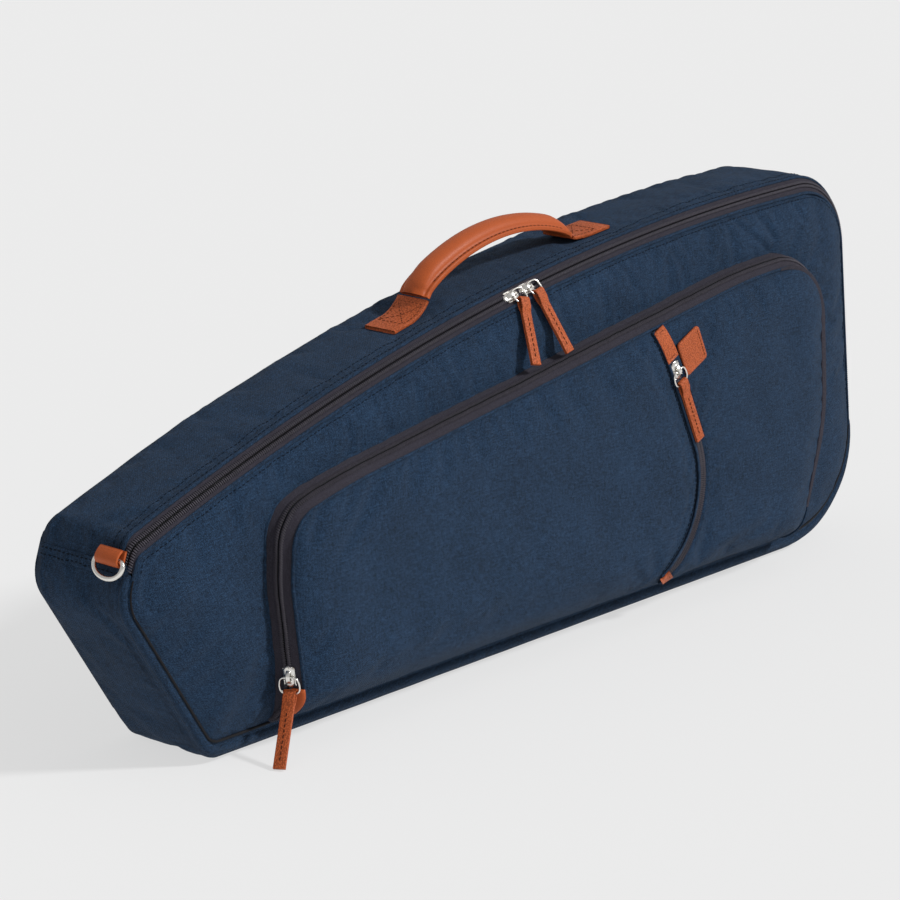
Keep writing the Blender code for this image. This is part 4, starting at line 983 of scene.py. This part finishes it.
def pocket_band(lid_tree, share, count=300):
    """A line along the pocket's zip band: share 0 at the lid, 1 at the pocket's front."""
    far = resample(pocket_outline(0.0), count)
    near = resample(pocket_outline(POCKET_LEAN), count)
    base = -drape(lid_tree, at_depth(far, -0.01), (0, 1, 0), 0.0)[0][:, 1]
    rise = swell(far[:, 1])
    flat = far + (near - far) * (share * rise)[:, None]
    rim = np.maximum(POCKET_FOOT_DEPTH + (POCKET_RIM - POCKET_FOOT_DEPTH) * rise, base + 0.0006)
    return at_depth(flat, -(base + (rim - base) * share))


def make_pocket_zip(lid_tree):
    """The zip that runs round the pocket, standing as the pocket's wall."""
    count = int(0.9 / ZIP_STEP)
    edge, middle, front = (resample(pocket_band(lid_tree, share), count) for share in (0.0, 0.5, 1.0))
    normal = unit(np.cross(tangents(middle), front - edge))
    outward = ((middle - middle.mean(0)) * normal)[:, [0, 2]].sum(1) > 0
    normal = np.where(outward[:, None], normal, -normal)
    full = np.clip(np.linalg.norm(front - edge, axis=1) / 0.012, 0, 1)[:, None]
    middle = middle + normal * 0.0014 * full
    outer = zip_object("pocket_zip_outer", zip_half(edge, middle, normal, 0.0))
    ride(outer, "lid", "zip_tape", "pocket_zip_outer_tape", "pocket_zip_outer_coil")
    inner = zip_object("pocket_zip_inner", zip_half(front, middle, normal, 0.5))
    ride(inner, "pocket_flap", "zip_tape", "pocket_zip_flap_tape", "pocket_zip_flap_coil")
    hem("pocket_hem_lid", edge + normal * 0.0002, normal, 0.0009, "lid")
    right = front[(front[:, 0] > 0.24) & (front[:, 2] > 0.045)] + np.array((-0.0012, -0.0010, 0.0))
    outward = np.broadcast_to(TO_FRONT, right.shape)
    taper = np.sqrt(np.sin(np.linspace(0.25, math.pi - 0.12, len(right))))
    fold = sweep(right, outward, round_section(0.0056, 0.0022, 0.0010), scale=taper)
    put("pocket_zip_side_fold", fold, "zip_tape", "pocket_flap")
    hem("pocket_hem_flap", front + normal * 0.0003, normal, 0.0010, "pocket_flap")
    return front


def flap_depth(flat, rim):
    """How far the pocket's front stands out at points (x, z)."""
    full = POCKET_RIM + (POCKET_CROWN - POCKET_RIM) * (1 - np.exp(-rim_distance(flat, rim) / 0.011))
    return POCKET_FOOT_DEPTH + (full - POCKET_FOOT_DEPTH) * swell(flat[..., 1])


def panel_zip_distance(flat):
    """Distance of points (x, z) from the curved zip's middle line."""
    return rim_distance(flat, np.array([panel_zip_point(s) for s in np.linspace(0, PANEL_ZIP_LENGTH, 60)]))


def make_flap(front):
    """The pocket's front, with a groove where the curved zip is let in."""
    rim = front[:, [0, 2]]
    rim[[0, -1], 1] = POCKET_FOOT_Z
    cut_right = int(np.argmax(rim[:, 0] + rim[:, 1]))
    cut_left = int(np.argmax(rim[:, 1] - rim[:, 0]))
    cols, rows = 130, 56
    right = resample(rim[:cut_right + 1], rows)
    top = resample(rim[cut_right:cut_left + 1][::-1], cols)
    left = resample(rim[cut_left:][::-1], rows)
    bottom = resample(np.array((left[0], right[0])), cols)
    flat = coons(bottom, top, left, right)
    grid = at_y(flat, -smoothed(flap_depth(flat, rim), 4))
    held = border(grid) | (panel_zip_distance(flat) < 0.011)
    held |= np.linalg.norm(flat - panel_zip_point(LABEL_ALONG, 0.0205), axis=2) < 0.02
    held[1] = True
    grid = doubled(inflated("flap", grid, held, pressure=5.0, slack=0.010, cap=0.0024))
    flat = grid[..., [0, 2]]
    near = panel_zip_distance(flat)
    free = np.clip(rim_distance(flat, rim) / 0.02, 0, 1) * np.clip((near - 0.008) / 0.02, 0, 1)
    groove = 0.0016 * np.clip((0.0062 - near) / 0.003, 0, 1)
    grid[..., 1] -= free * 0.0009 * ripple(grid, size=0.10, seed=9) - groove + creased(flat, FLAP_CREASES)
    cover = grid_object("pocket_cover", grid, "navy_cloth")
    ride(cover, "pocket_flap", "navy_cloth", "pocket_flap_left", "pocket_flap_right")
    return grid


def to_flap(tree, points, lift):
    """Points (x, z) laid on the pocket's front and lifted off it, with its normals."""
    return drape(tree, at_depth(np.asarray(points), -0.03), -TO_FRONT, lift)


def panel_line(tree, offset, start, end, lift, pitch=0.0025):
    """A line along the curved zip, laid on the pocket's front."""
    count = int((end - start) / pitch) + 1
    return to_flap(tree, [panel_zip_point(s, offset) for s in np.linspace(start, end, count)], lift)


def make_panel_zip(tree):
    """The curved zip in the pocket's front, between two folded edges."""
    start, end = 0.012, PANEL_ZIP_END - 0.004
    middle = panel_line(tree, 0.0, start, end, 0.0016)[0]
    halves, folds, rows = [], [], []
    for side, phase in ((-1, 0.0), (1, 0.5)):
        edge = panel_line(tree, side * 0.0044, start, end, 0.0008)[0]
        halves.append(zip_half(edge, middle, np.broadcast_to(TO_FRONT, edge.shape), phase))
        path, normal = panel_line(tree, side * 0.0052, 0.001, PANEL_ZIP_END, 0.0013)
        folds.append(sweep(path, normal, round_section(0.0036, 0.0016, 0.0007)))
        path, normal = panel_line(tree, side * 0.0078, 0.004, PANEL_ZIP_END, 0.0002)
        rows.append(stitches(path, normal, *ZIP_STITCH))
    ride(zip_object("panel_zip", *halves), "pocket_flap", "zip_tape",
         "panel_zip_left_tape", "panel_zip_coil", "panel_zip_right_tape")
    put("panel_zip_folds", joined(folds), "navy_cloth", "pocket_flap")
    put("panel_zip_stitches", joined(rows), "navy_thread", "pocket_flap")


# ---------------------------------------------------------------- leather pieces

def tab_on_flap(tree, name, start, end, node, sewn):
    """A leather end tab over the curved zip, sewn across at shares of its length."""
    path, normal = panel_line(tree, 0.0, start, end, 0.0030, 0.002)
    section = round_section(0.0125, 0.0014, 0.00049, 3)
    put(name, sweep(path, normal, section), "tan_leather", "pocket_flap", node)
    lines = []
    for share in sewn:
        at = start + (end - start) * share
        points = [panel_zip_point(at, off) for off in np.linspace(-0.0048, 0.0048, 6)]
        row, up = to_flap(tree, points, 0.0039)
        row[:, 1] = to_flap(tree, [panel_zip_point(at)], 0.0038)[0][0, 1]
        lines.append(stitches(row, up, *SMALL_STITCH))
    put(name + "_stitches", joined(lines), "tan_thread", "pocket_flap")


def plate(outline_points, levels, frame_of):
    """A lens-like solid: an outline (x, y), scaled and lifted by levels (scale, z), in a frame."""
    centre = outline_points.mean(0)
    rings = []
    for scale, z in levels:
        ring = centre + (outline_points - centre) * scale
        rings.append(np.concatenate((ring, np.full((len(ring), 1), z)), 1))
    grid = np.array(rings)
    rows, cols = grid.shape[:2]
    faces = grid_faces(rows, cols, wrap=True).tolist()
    faces += [list(range(cols))[::-1], list(range((rows - 1) * cols, rows * cols))]
    verts = grid.reshape(-1, 3) @ frame_of[:3, :3].T + frame_of[:3, 3]
    return verts, faces, grid_uv(grid)


def frame_at(origin, along, normal):
    """A frame with X along, Z along the normal and Y across."""
    along, normal = unit(along), unit(normal)
    across = unit(np.cross(normal, along))
    frame_of = np.eye(4)
    frame_of[:3, 0], frame_of[:3, 1], frame_of[:3, 2] = along, across, np.cross(along, across)
    frame_of[:3, 3] = origin
    return frame_of


def placed(frame_of, points):
    """Points of a frame, in the bag frame."""
    return np.asarray(points, float) @ frame_of[:3, :3].T + frame_of[:3, 3]


def straight(frame_of, points):
    """Points of a frame, in the bag frame, with the frame's Z as their normals."""
    path = placed(frame_of, points)
    return path, np.broadcast_to(frame_of[:3, 2], path.shape)


def strip(frame_of, steps, section):
    """A strip through steps of (x, z, angle) in a frame, where the angle is its normal's."""
    path = placed(frame_of, [(x, 0, z) for x, z, _ in steps])
    normals = np.array([(math.cos(angle), 0, math.sin(angle)) for _, _, angle in steps])
    return sweep(path, normals @ frame_of[:3, :3].T, section)


def make_label(tree):
    """The plain leather tab sewn beside the curved zip."""
    width, length = 0.025, 0.0275
    spot = to_flap(tree, [panel_zip_point(LABEL_ALONG, 0.008 + width / 2)], 0.0004)[0][0]
    along = np.array((math.sin(PANEL_ZIP_TILT), 0, -math.cos(PANEL_ZIP_TILT)))
    frame_of = frame_at(spot, along, TO_FRONT)
    levels = ((0.985, 0.0), (1.0, 0.0004), (1.0, 0.0013), (0.985, 0.0017), (0.9, 0.0018), (0.3, 0.0018))
    form = plate(round_section(length, width, 0.0028, 5), levels, frame_of)
    put("label_tab_leather", form, "tan_leather", "pocket_flap", "label_tab")
    row = straight(frame_of, [(x, 0.0100, 0.0019) for x in np.linspace(-0.012, 0.012, 8)])
    put("label_stitches", stitches(*row, *SMALL_STITCH), "tan_thread", "pocket_flap")


# ---------------------------------------------------------------- sliders, bails and pulls

SLIDER_AT = {"left": -0.0205, "right": -0.0045}
POCKET_SLIDER_AT = (-0.2626, -0.02065, 0.0525)
POCKET_SLIDER_WAY = (-0.143, 0.0, 1.0)
POCKET_SLIDER_OUT = (-0.90, -0.43, -0.1287)
POCKET_PULL_LEAN = math.radians(44)
BAIL_HEIGHT = 0.0031
BAIL_LENGTH = 0.0108
BAIL_WIDTH = 0.0138
MAIN_BAIL_BACK = 0.0028
PULL_LENGTH = 0.050
MAIN_PULL_LENGTH = 0.046
PULL_WIDTH = 0.0082
PULL_LEAN = math.radians(27)
PULL_SEAT = 0.5
PULL_SLANT = {"left": math.radians(-13), "right": math.radians(11.5)}
PULL_SLACK = {"left": 0.0003, "right": 0.0005}


def slider_frames():
    """The four sliders' frames: X along the zip, Z out of it."""
    found = {}
    slope = unit((0, -EDGE_INSET["top"], EDGE_DEPTH))
    for side, x in SLIDER_AT.items():
        radius = TOP_RADIUS - EDGE_INSET["top"] / 2
        z = TOP_CENTRE[1] + math.sqrt(radius ** 2 - (x - TOP_CENTRE[0]) ** 2)
        along = unit((z - TOP_CENTRE[1], 0, TOP_CENTRE[0] - x))
        found["main_" + side] = frame_at((x, EDGE_DEPTH / 2, z), along, slope - along * (slope @ along))
    seat = panel_zip_point(0.0355)
    along = (-math.sin(PANEL_ZIP_TILT), 0, math.cos(PANEL_ZIP_TILT))
    found["panel"] = frame_at((seat[0], -0.0352, seat[1]), along, (0, -1, 0))
    normal = unit(POCKET_SLIDER_OUT)
    found["pocket"] = frame_at(np.array(POCKET_SLIDER_AT) + normal * 0.0004, POCKET_SLIDER_WAY, normal)
    return found


def slider_mesh(frame_of):
    """A nickel slider: a waisted body with two shoulders and a bridge over it."""
    upper = np.array([(0.0075, 0.0), (0.0068, 0.0024), (0.0050, 0.0040), (0.0020, 0.0040),
                      (-0.0015, 0.0031), (-0.0050, 0.0029), (-0.0072, 0.0016)])
    lower = upper[1:] * np.array((1, -1))
    shape = resample(looped(np.concatenate((upper, [(-0.0076, 0.0)], lower[::-1]))), 41)[:-1]
    levels = ((0.9, 0.0001), (0.99, 0.0004), (1.0, 0.0009), (0.97, 0.0015), (0.85, 0.0019), (0.4, 0.0021))
    parts = [plate(shape, levels, frame_of)]
    s = np.linspace(0, 1, 17)
    arch = np.stack((-0.0044 + 0.0086 * s, 0 * s, 0.0012 + 0.0034 * np.sin(math.pi * s) ** 0.55), 1)
    hump = np.stack((-np.cos(math.pi * s), 0 * s, np.sin(math.pi * s) + 0.4), 1)
    normals = unit(hump) @ frame_of[:3, :3].T
    parts.append(sweep(placed(frame_of, arch), normals, round_section(0.0030, 0.0011, 0.0004, 3)))
    for side in (-1, 1):
        rail = straight(frame_of, [(x, side * 0.0036, 0.0004) for x in np.linspace(-0.0058, 0.0062, 9)])
        parts.append(sweep(*rail, round_section(0.0010, 0.0022, 0.0004, 3)))
    return joined(parts)


def bail_mesh(frame_of, way):
    """A wire loop through the slider's bridge."""
    half, reach = BAIL_WIDTH / 2, BAIL_LENGTH
    side = [(0.10 * reach, 0.86 * half), (0.5 * reach, half),
            (0.86 * reach, 0.95 * half), (reach, 0.7 * half)]
    knots = [(0.0, -0.55 * half), (0.0, 0.55 * half)] + side + [(x, -y) for x, y in side[::-1]]
    knots = np.array(knots) * np.array((way, 1))
    if way > 0:
        knots[:, 1] = (knots[:, 1] + half) * (half + MAIN_BAIL_BACK) / BAIL_WIDTH - half
    fine = rounded(resample(looped(knots), 61)[:-1], 4)
    path = np.concatenate((fine, np.full((60, 1), BAIL_HEIGHT)), 1)
    return sweep(*straight(frame_of, path), wire_section(0.00068), closed=True)


def pull_frames(frames):
    """Where each pull hangs: X up the pull, Z out of the bag."""
    found = {}
    down = np.array((0, -math.sin(PULL_LEAN), -math.cos(PULL_LEAN)))
    out = np.array((0, -math.cos(PULL_LEAN), math.sin(PULL_LEAN)))
    for side, slant in PULL_SLANT.items():
        bar = placed(frames["main_" + side], [(PULL_SEAT * BAIL_LENGTH, -BAIL_WIDTH / 2, BAIL_HEIGHT)])[0]
        hang = down * math.cos(slant) + np.cross(out, down) * math.sin(slant)
        found["main_" + side] = frame_at(bar - hang * PULL_SLACK[side], -hang, out)
    bar = placed(frames["panel"], [(-BAIL_LENGTH, 0, BAIL_HEIGHT)])[0]
    found["panel"] = frame_at(bar, frames["panel"][:3, 0], frames["panel"][:3, 2])
    bar = placed(frames["pocket"], [(-BAIL_LENGTH, 0, BAIL_HEIGHT)])[0]
    along, across, normal = frames["pocket"][:3, :3].T
    hang = normal * math.sin(POCKET_PULL_LEAN) - along * math.cos(POCKET_PULL_LEAN)
    found["pocket"] = frame_at(bar, -hang, np.cross(across, hang))
    return found


def rounded(ring, rounds):
    """A ring of points with its corners eased."""
    for _ in range(rounds):
        ring = (np.roll(ring, 1, 0) + 2 * ring + np.roll(ring, -1, 0)) / 4
    return ring


def make_pull(name, frame_of, length):
    """A leather strip folded round the bail and stitched down its middle."""
    skin, face = 0.00105, 0.00062
    eye = 0.0013 + skin / 2
    up, neck, eye_from = math.pi / 2, -0.0095, -0.008

    def lift(x):
        return face + (eye - face) * min(1, (x - eye_from) / 0.004 + 0.25)

    steps = [(x, face, up) for x in np.linspace(-length, neck, 20)]
    steps += [(x, lift(x), up) for x in np.linspace(eye_from, 0.0, 6)]
    steps += [(eye * math.cos(a), eye * math.sin(a), a) for a in np.linspace(up, -up, 11)[1:-1]]
    steps += [(x, -lift(x), -up) for x in np.linspace(0.0, eye_from, 6)]
    steps += [(x, -face, -up) for x in np.linspace(neck, -length, 12)]
    body = name + "_body"
    form = strip(frame_of, steps, round_section(PULL_WIDTH, skin, 0.00035, 3))
    put(name + "_leather", form, "tan_leather", body, name)
    height = face + skin / 2 + 0.000108
    row = straight(frame_of, [(x, 0, height) for x in np.linspace(0.004 - length, -0.011, 12)])
    put(name + "_stitches", stitches(*row, *PULL_STITCH), "tan_thread", body)
    core = straight(frame_of, [(x, 0, 0) for x in np.linspace(-length + 0.0003, -0.009, 8)])
    form = sweep(*core, round_section(PULL_WIDTH - 0.0004, 0.0008, 0.0002, 2))
    put(name + "_core", form, "leather_edge", body)


def make_sliders():
    """All four sliders, bails and pulls."""
    frames = slider_frames()
    pulls = pull_frames(frames)
    for name, frame_of in frames.items():
        slider, bail = name + "_slider", name + "_bail"
        put(slider + "_nickel", slider_mesh(frame_of), "nickel", slider + "_body", slider)
        way = 1 if name.startswith("main") else -1
        put(bail + "_wire", bail_mesh(frame_of, way), "nickel", bail + "_body", bail)
        make_pull(name + "_pull", pulls[name], MAIN_PULL_LENGTH if way > 0 else PULL_LENGTH)


# ---------------------------------------------------------------- handle and rings

GRIP_FROM_X = -0.0785
GRIP_TO_X = 0.0720
GRIP_RISE = 0.0283
GRIP_LEFTWARD = 0.82           # below 1 the arch peaks nearer its left end
GRIP_FEET = (0.0115, 0.0050)     # left and right ends above the top
GRIP_HUMP = 0.0078
PATCH_LIFT = {"left": 0.0085, "right": 0.0030}


def grip_path(count=61):
    """The line along the underside of the grip's leather strap."""
    share = np.linspace(0, 1, count)
    x = GRIP_FROM_X + (GRIP_TO_X - GRIP_FROM_X) * share
    arch = np.sin(math.pi * share ** GRIP_LEFTWARD) ** 0.75
    foot = np.interp(share, (0, 1), GRIP_FEET)
    z = top_height(x) + foot + (GRIP_RISE - foot) * arch
    return np.stack((x, np.full(count, HANDLE_Y), z), 1), share


def grip_sections(share):
    """The grip's section at each share: a flat welt with a padded hump on it."""
    half = STRAP_WIDTH / 2 - 0.0008
    welt = 0.0013
    room = half - 0.0032
    side = [(half, -welt), (half - 0.0004, -0.0002), (half - 0.0004, 0.0002), (half, welt),
            (half - 0.0015, welt + 0.0002), (room + 0.0008, welt + 0.0001)]
    under = [(half * 0.5, -welt - 0.0004), (0.0, -welt - 0.0006), (-half * 0.5, -welt - 0.0004)]
    sections = []
    for s in share:
        end = min(s, 1 - s) * (GRIP_TO_X - GRIP_FROM_X)
        hump = GRIP_HUMP * (0.3 + 0.7 * math.sqrt(np.clip(end / 0.016, 0.0, 1.0)))
        turns = np.linspace(math.pi, 0, 15)[1:-1]
        dome = [(room * math.cos(a), welt + hump * math.sin(a) ** 0.8) for a in turns]
        ring = [(-x, z) for x, z in side] + [(-room, welt)] + dome + [(room, welt)] + side[::-1] + under
        sections.append(ring)
    return np.array(sections)[:, ::-1]


def make_handle(gusset_tree):
    """The padded grip, its stitching and the two sewn patches."""
    path, share = grip_path()
    along = tangents(path)
    normals = np.stack((-along[:, 2], np.zeros(len(path)), along[:, 0]), 1)
    form = sweep(path, normals, grip_sections(share))
    grip = put("grip_leather_cover", form, "grip_leather", "handle", "handle_grip", "handle_core",
               slot="grip_leather")
    rows = []
    for side in (-1, 1):
        offset = side * (STRAP_WIDTH / 2 - 0.0029)
        line = path + np.array((0, 1, 0)) * offset + normals * 0.0018
        rows.append(stitches(line[3:-3], normals[3:-3], *GRIP_STITCH))
    put("grip_stitches", joined(rows), "tan_thread", "handle", slot="grip_leather")
    for side, (start, end) in PATCH_X.items():
        if side == "left":
            make_patch(side, start, end + PATCH_REACH, 1, gusset_tree)
        else:
            make_patch(side, end, start - PATCH_REACH, -1, gusset_tree)


def make_patch(side, outer, inner, way, gusset_tree):
    """One end of the carry strap, sewn flat to the top with a crossed box."""
    count = 22
    spot = at_depth(np.stack((np.linspace(outer, inner, count), np.zeros(count)), 1), HANDLE_Y)
    spot[:, 2] = top_height(spot[:, 0])
    path = drape(gusset_tree, spot, (0, 0, -1), STRAP_THICKNESS / 2 + 0.0002)[0]
    slope = tangents(path)
    normals = np.stack((-slope[:, 2], np.zeros(count), slope[:, 0]), 1) * way
    lift = PATCH_LIFT[side] * np.maximum(0.0, (np.linspace(0, 1, count) - 0.45) / 0.55) ** 2
    path = path + normals * lift[:, None]
    name = "handle_patch_" + side
    form = sweep(path, normals, round_section(STRAP_WIDTH, STRAP_THICKNESS, 0.0007, 3))
    put(name + "_leather", form, "tan_leather", "shell", name)
    length = abs(inner - outer)
    near, far, half = 0.30 * length, length - 0.004, STRAP_WIDTH / 2 - 0.0025
    corners = [(near, -half), (near, half), (far, half), (far, -half)]
    lines = []
    for a, b in ((0, 1), (1, 2), (2, 3), (3, 0), (0, 2), (1, 3)):
        line = resample(np.array((corners[a], corners[b])), 12)
        index = line[:, 0] / length * (count - 1)
        base, up = (picked(index, np.arange(count), rows) for rows in (path, normals))
        base[:, 1] += line[:, 1]
        lines.append(stitches(base + up * (STRAP_THICKNESS / 2 + 0.0001), up, *PATCH_STITCH))
    put(name + "_stitches", joined(lines), "tan_thread", "shell")


RING_WIRE = 0.0016
RING_SEAT = 0.005
RING_HALF = 0.0126
RING_DROP = 0.0100
LOOP_WIDTH = 0.0196
LOOP_LENGTH = 0.0070


def wall_frame(low, slope, height, y, way):
    """A frame on an end wall: X up the slope from its low point, Z out of the wall."""
    seat = low + slope * (height - low[1]) / slope[1]
    return frame_at((seat[0], y, seat[1]), (slope[0], 0, slope[1]), (way * slope[1], 0, -way * slope[0]))


def ring_frames():
    """The seats of the two strap rings."""
    part = stretches()
    low = part["tip"][0]
    narrow = wall_frame(low, unit(part["shoulder"][-1] - low), NARROW_SEAM_Z + 0.002, NARROW_RING_Y, -1)
    wide = wall_frame(part["foot"][-1], unit(WIDE_SLOPE), WIDE_RING_Z, DEPTH / 2, 1)
    return {"narrow": narrow, "wide": wide}


def make_rings():
    """Each D-ring and the leather loop that holds it."""
    bar = RING_HALF - 0.002
    points = [(0, y, RING_SEAT) for y in np.linspace(-bar, bar, 12)]
    for angle in np.linspace(0, math.pi, 29):
        drop = RING_DROP * max(0.0, math.sin(angle)) ** 0.8
        points.append((-0.002 - drop, RING_HALF * math.cos(angle), RING_SEAT))
    path = rounded(resample(looped(np.array(points, float)), 81)[:-1], 3)
    for end, frame_of in ring_frames().items():
        form = sweep(*straight(frame_of, path), wire_section(RING_WIRE, 14), closed=True)
        put("d_ring_" + end, form, "nickel", end + "_ring", "strap_ring_" + end)
        make_loop(end, frame_of)


def make_loop(end, frame_of):
    """The leather strip folded round a ring's bar and sewn to the wall."""
    skin = 0.0017
    reach = RING_WIRE + 0.0006 + skin / 2
    top, low = RING_SEAT + reach, RING_SEAT - reach
    up = math.pi / 2
    steps = [(x, top - 0.0030 * (x / LOOP_LENGTH) ** 2, up) for x in np.linspace(LOOP_LENGTH, 0.001, 8)]
    turns = np.linspace(up, 3 * up, 13)
    steps += [(reach * math.cos(a), RING_SEAT + reach * math.sin(a), a) for a in turns]
    steps += [(x, low, 3 * up) for x in np.linspace(0.002, LOOP_LENGTH, 6)]
    name = "strap_loop_" + end
    form = strip(frame_of, steps, round_section(LOOP_WIDTH, skin, 0.0006, 3))
    put(name + "_leather", form, "grip_leather", "shell", name)
    height = top - 0.0020 + skin / 2
    row = straight(frame_of, [(0.8 * LOOP_LENGTH, y, height) for y in np.linspace(-0.0085, 0.0085, 8)])
    put(name + "_stitches", stitches(*row, *LOOP_STITCH), "tan_thread", "shell")


# ---------------------------------------------------------------- seams

def across_walls(point, margin, count):
    """A line from the front to the back over an outline point (x, z)."""
    return at_depth(np.broadcast_to(point, (count, 2)), np.linspace(margin, DEPTH - margin, count))


def make_seams(gusset_tree, lid_tree):
    """Stitch rows on the cloth, and the folded seam across the narrow end."""
    rows = []
    for back in (0.0035, 0.0095):
        line = at_depth(outline(0.0)[ZIP_FROM:ZIP_TO + 1], EDGE_DEPTH + back)
        rows.append(stitches(*nearest(gusset_tree, spaced(line, 0.003), 0.0002), *SEAM_STITCH))
    line = at_depth(outline(1.0, 0.0034)[ZIP_FROM:ZIP_TO + 1], -0.005)
    on_lid = stitches(*drape(lid_tree, spaced(line, 0.003), -TO_FRONT, 0.0001), *SEAM_STITCH)
    seam = outline()[ZIP_TO]
    slope = unit(outline()[ZIP_TO - 1] - outline()[ZIP_TO + 1])
    out = np.array((-slope[1], slope[0]))
    for drop in (0.0022, 0.0062):
        line = across_walls(seam - slope * drop + out * 0.004, 0.002, 40)
        rows.append(stitches(*nearest(gusset_tree, line, 0.0009), *FOLD_STITCH))
    put("shell_stitches", joined(rows), "navy_thread", "shell")
    put("lid_stitches", on_lid, "navy_thread", BENT_LID)
    fold = nearest(gusset_tree, across_walls(seam - slope * 0.004, 0.001, 60), 0.0002)
    form = sweep(*fold, round_section(0.0090, 0.0014, 0.0006, 3))
    put("narrow_seam_fold", form, "navy_cloth", "shell")
    line = spaced(at_depth(looped(outline(1.0)), DEPTH - 0.0002), 0.004)[:-1]
    form = sweep(line, outwards(line), wire_section(0.0010, 8), closed=True)
    put("back_seam_welt", form, "navy_cloth", "shell")


def outwards(line):
    """Unit directions away from the middle of a line, in the plane of the bag's side."""
    return unit((line - line.mean(0)) * np.array((1, 0, 1)))


def make_front_seam():
    """The folded edge round the part of the lid that has no zip, and beside it a near-black tube painted as
    the shade in the seam's groove.
    """
    around = np.arange(ZIP_TO, ZIP_FROM + len(SIDE)) % len(SIDE)
    step = 0.004
    # the groove is a thin near-black tube: painted shade, not a part of its own
    for name, share, depth, radius, finish in (("front_seam_welt", 0.55, 0.0042, 0.0044, "navy_cloth"),
                                               ("front_seam_groove_shade", 0.985, -0.0003, 0.0009, "zip_gap")):
        path = spaced(at_depth(outline(share)[around], depth), step)
        index = np.arange(len(path))
        taper = 0.25 + 0.75 * np.sqrt(np.clip(np.minimum(index, index[::-1]) * step / 0.045, 0.0, 1.0))
        form = sweep(path, unit(outwards(path) + TO_FRONT), wire_section(radius, 10), scale=taper)
        put(name, form, finish, "shell")


def nearest(tree, points, lift):
    """Points moved to the nearest place on a sheet and lifted off it, away from the bag's middle."""
    middle = Vector((0.0, DEPTH / 2, 0.12))
    landed, normals = [], []
    for point in map(Vector, points):
        hit, normal = tree.find_nearest(point)[:2]
        if normal.dot(point - middle) < 0:
            normal = -normal
        landed.append(hit + normal * lift)
        normals.append(normal)
    return np.array(landed), np.array(normals)


def make_end_tab(lid_tree):
    """The leather tab over the lower left end of the pocket's zip."""
    inner, outer = (pocket_band(lid_tree, share)[-10:-3] for share in (0.58, 1.02))
    wide = outer - inner
    normal = band_normals((inner + outer) / 2, wide, 0)
    rows = []
    for share in np.linspace(0, 1, 6):
        rows.append(inner + wide * share + normal * (0.0018 + 0.0005 * math.sin(math.pi * share)))
    rows.append(outer + normal * 0.0004 + wide * 0.05)
    piece = grid_object("zip_end_tab_leather", np.array(rows), "grip_leather")
    thicken(piece, 0.0012).offset = -1
    ride(piece, "pocket_flap", "tan_leather", "pocket_zip_end_tab")


def thicken(piece, thickness):
    """Give a sheet a thickness."""
    thick = piece.modifiers.new("thick", "SOLIDIFY")
    thick.thickness = thickness
    return thick


def make_pouch():
    """The slip pocket behind the curved zip."""
    low, high = (np.array(corner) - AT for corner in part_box("slip_pocket_pouch"))
    flat = np.stack(np.meshgrid(np.linspace(low[0], high[0], 40), np.linspace(low[2], high[2], 26)), -1)
    grid = at_y(flat, (low[1] + high[1]) / 2 + 0.0004 * ripple(at_y(flat, 0.0), size=0.05, seed=31))
    piece = grid_object("slip_pouch", grid, "lining_cloth")
    thicken(piece, 0.0008)
    ride(piece, "pocket_flap", "lining_cloth", "slip_pocket_pouch")


# ---------------------------------------------------------------- stage

CAMERA_AT = (-1.72, -1.445, 0.757)
CAMERA_TURN = (74.7, 0.0, -48.5)


def make_stage():
    """The pale floor, the sky light, the sun and the camera."""
    ground = bpy.data.meshes.new("floor")
    reach = 30.0
    ground.from_pydata([(-reach, -reach, 0), (reach, -reach, 0), (reach, reach, 0), (-reach, reach, 0)], [],
                       [(0, 1, 2, 3)])
    paper = Shader("floor_paper", (0.22, 0.22, 0.22), 0.95, Specular_IOR_Level=0.0,
                   Emission_Color=(1, 1, 1, 1), Emission_Strength=0.615)
    ground.materials.append(paper.material)
    add_object("floor", ground)
    world = bpy.data.worlds.new("studio")
    bpy.context.scene.world = world
    world.use_nodes = True
    sky = world.node_tree.nodes["Background"]
    sky.inputs["Color"].default_value = (1.0, 1.0, 1.0, 1)
    sky.inputs["Strength"].default_value = 0.45
    add_sun("key_sun", 2.65, 7.0, (0.38, -0.73, 0.70))
    camera = bpy.data.cameras.new("camera")
    camera.lens, camera.sensor_width = 136.0, 36.0
    camera.clip_end = 100.0
    holder = add_object("camera", camera)
    holder.location = Vector(CAMERA_AT) + Vector(AT)
    holder.rotation_euler = Euler([math.radians(a) for a in CAMERA_TURN])
    bpy.context.scene.camera = holder
    bpy.context.scene.view_settings.view_transform = "Standard"


def add_sun(name, strength, softness, source):
    """A distant soft light that shines from source."""
    light = bpy.data.lights.new(name, "SUN")
    light.energy = strength
    light.angle = math.radians(softness)
    add_object(name, light).rotation_euler = Vector(source).to_track_quat("Z", "Y").to_euler()


def build():
    """Every piece of the bag."""
    make_materials()
    gusset_tree = surface(make_gusset(), wrap=True)
    make_back()
    lid_tree = surface(make_lid())
    make_linings()
    make_main_zip()
    front = make_pocket_zip(lid_tree)
    flap_tree = surface(make_flap(front))
    make_panel_zip(flap_tree)
    tab_on_flap(flap_tree, "panel_tab_top", 0.003, 0.0265, "panel_zip_top_tab", (0.1, 0.9))
    tab_on_flap(flap_tree, "panel_tab_low", PANEL_ZIP_END - 0.0075, PANEL_ZIP_END,
                "panel_zip_bottom_tab", (0.25,))
    make_label(flap_tree)
    make_end_tab(lid_tree)
    make_pouch()
    make_sliders()
    make_handle(gusset_tree)
    make_rings()
    make_seams(gusset_tree, lid_tree)
    make_front_seam()
    make_stage()


build()
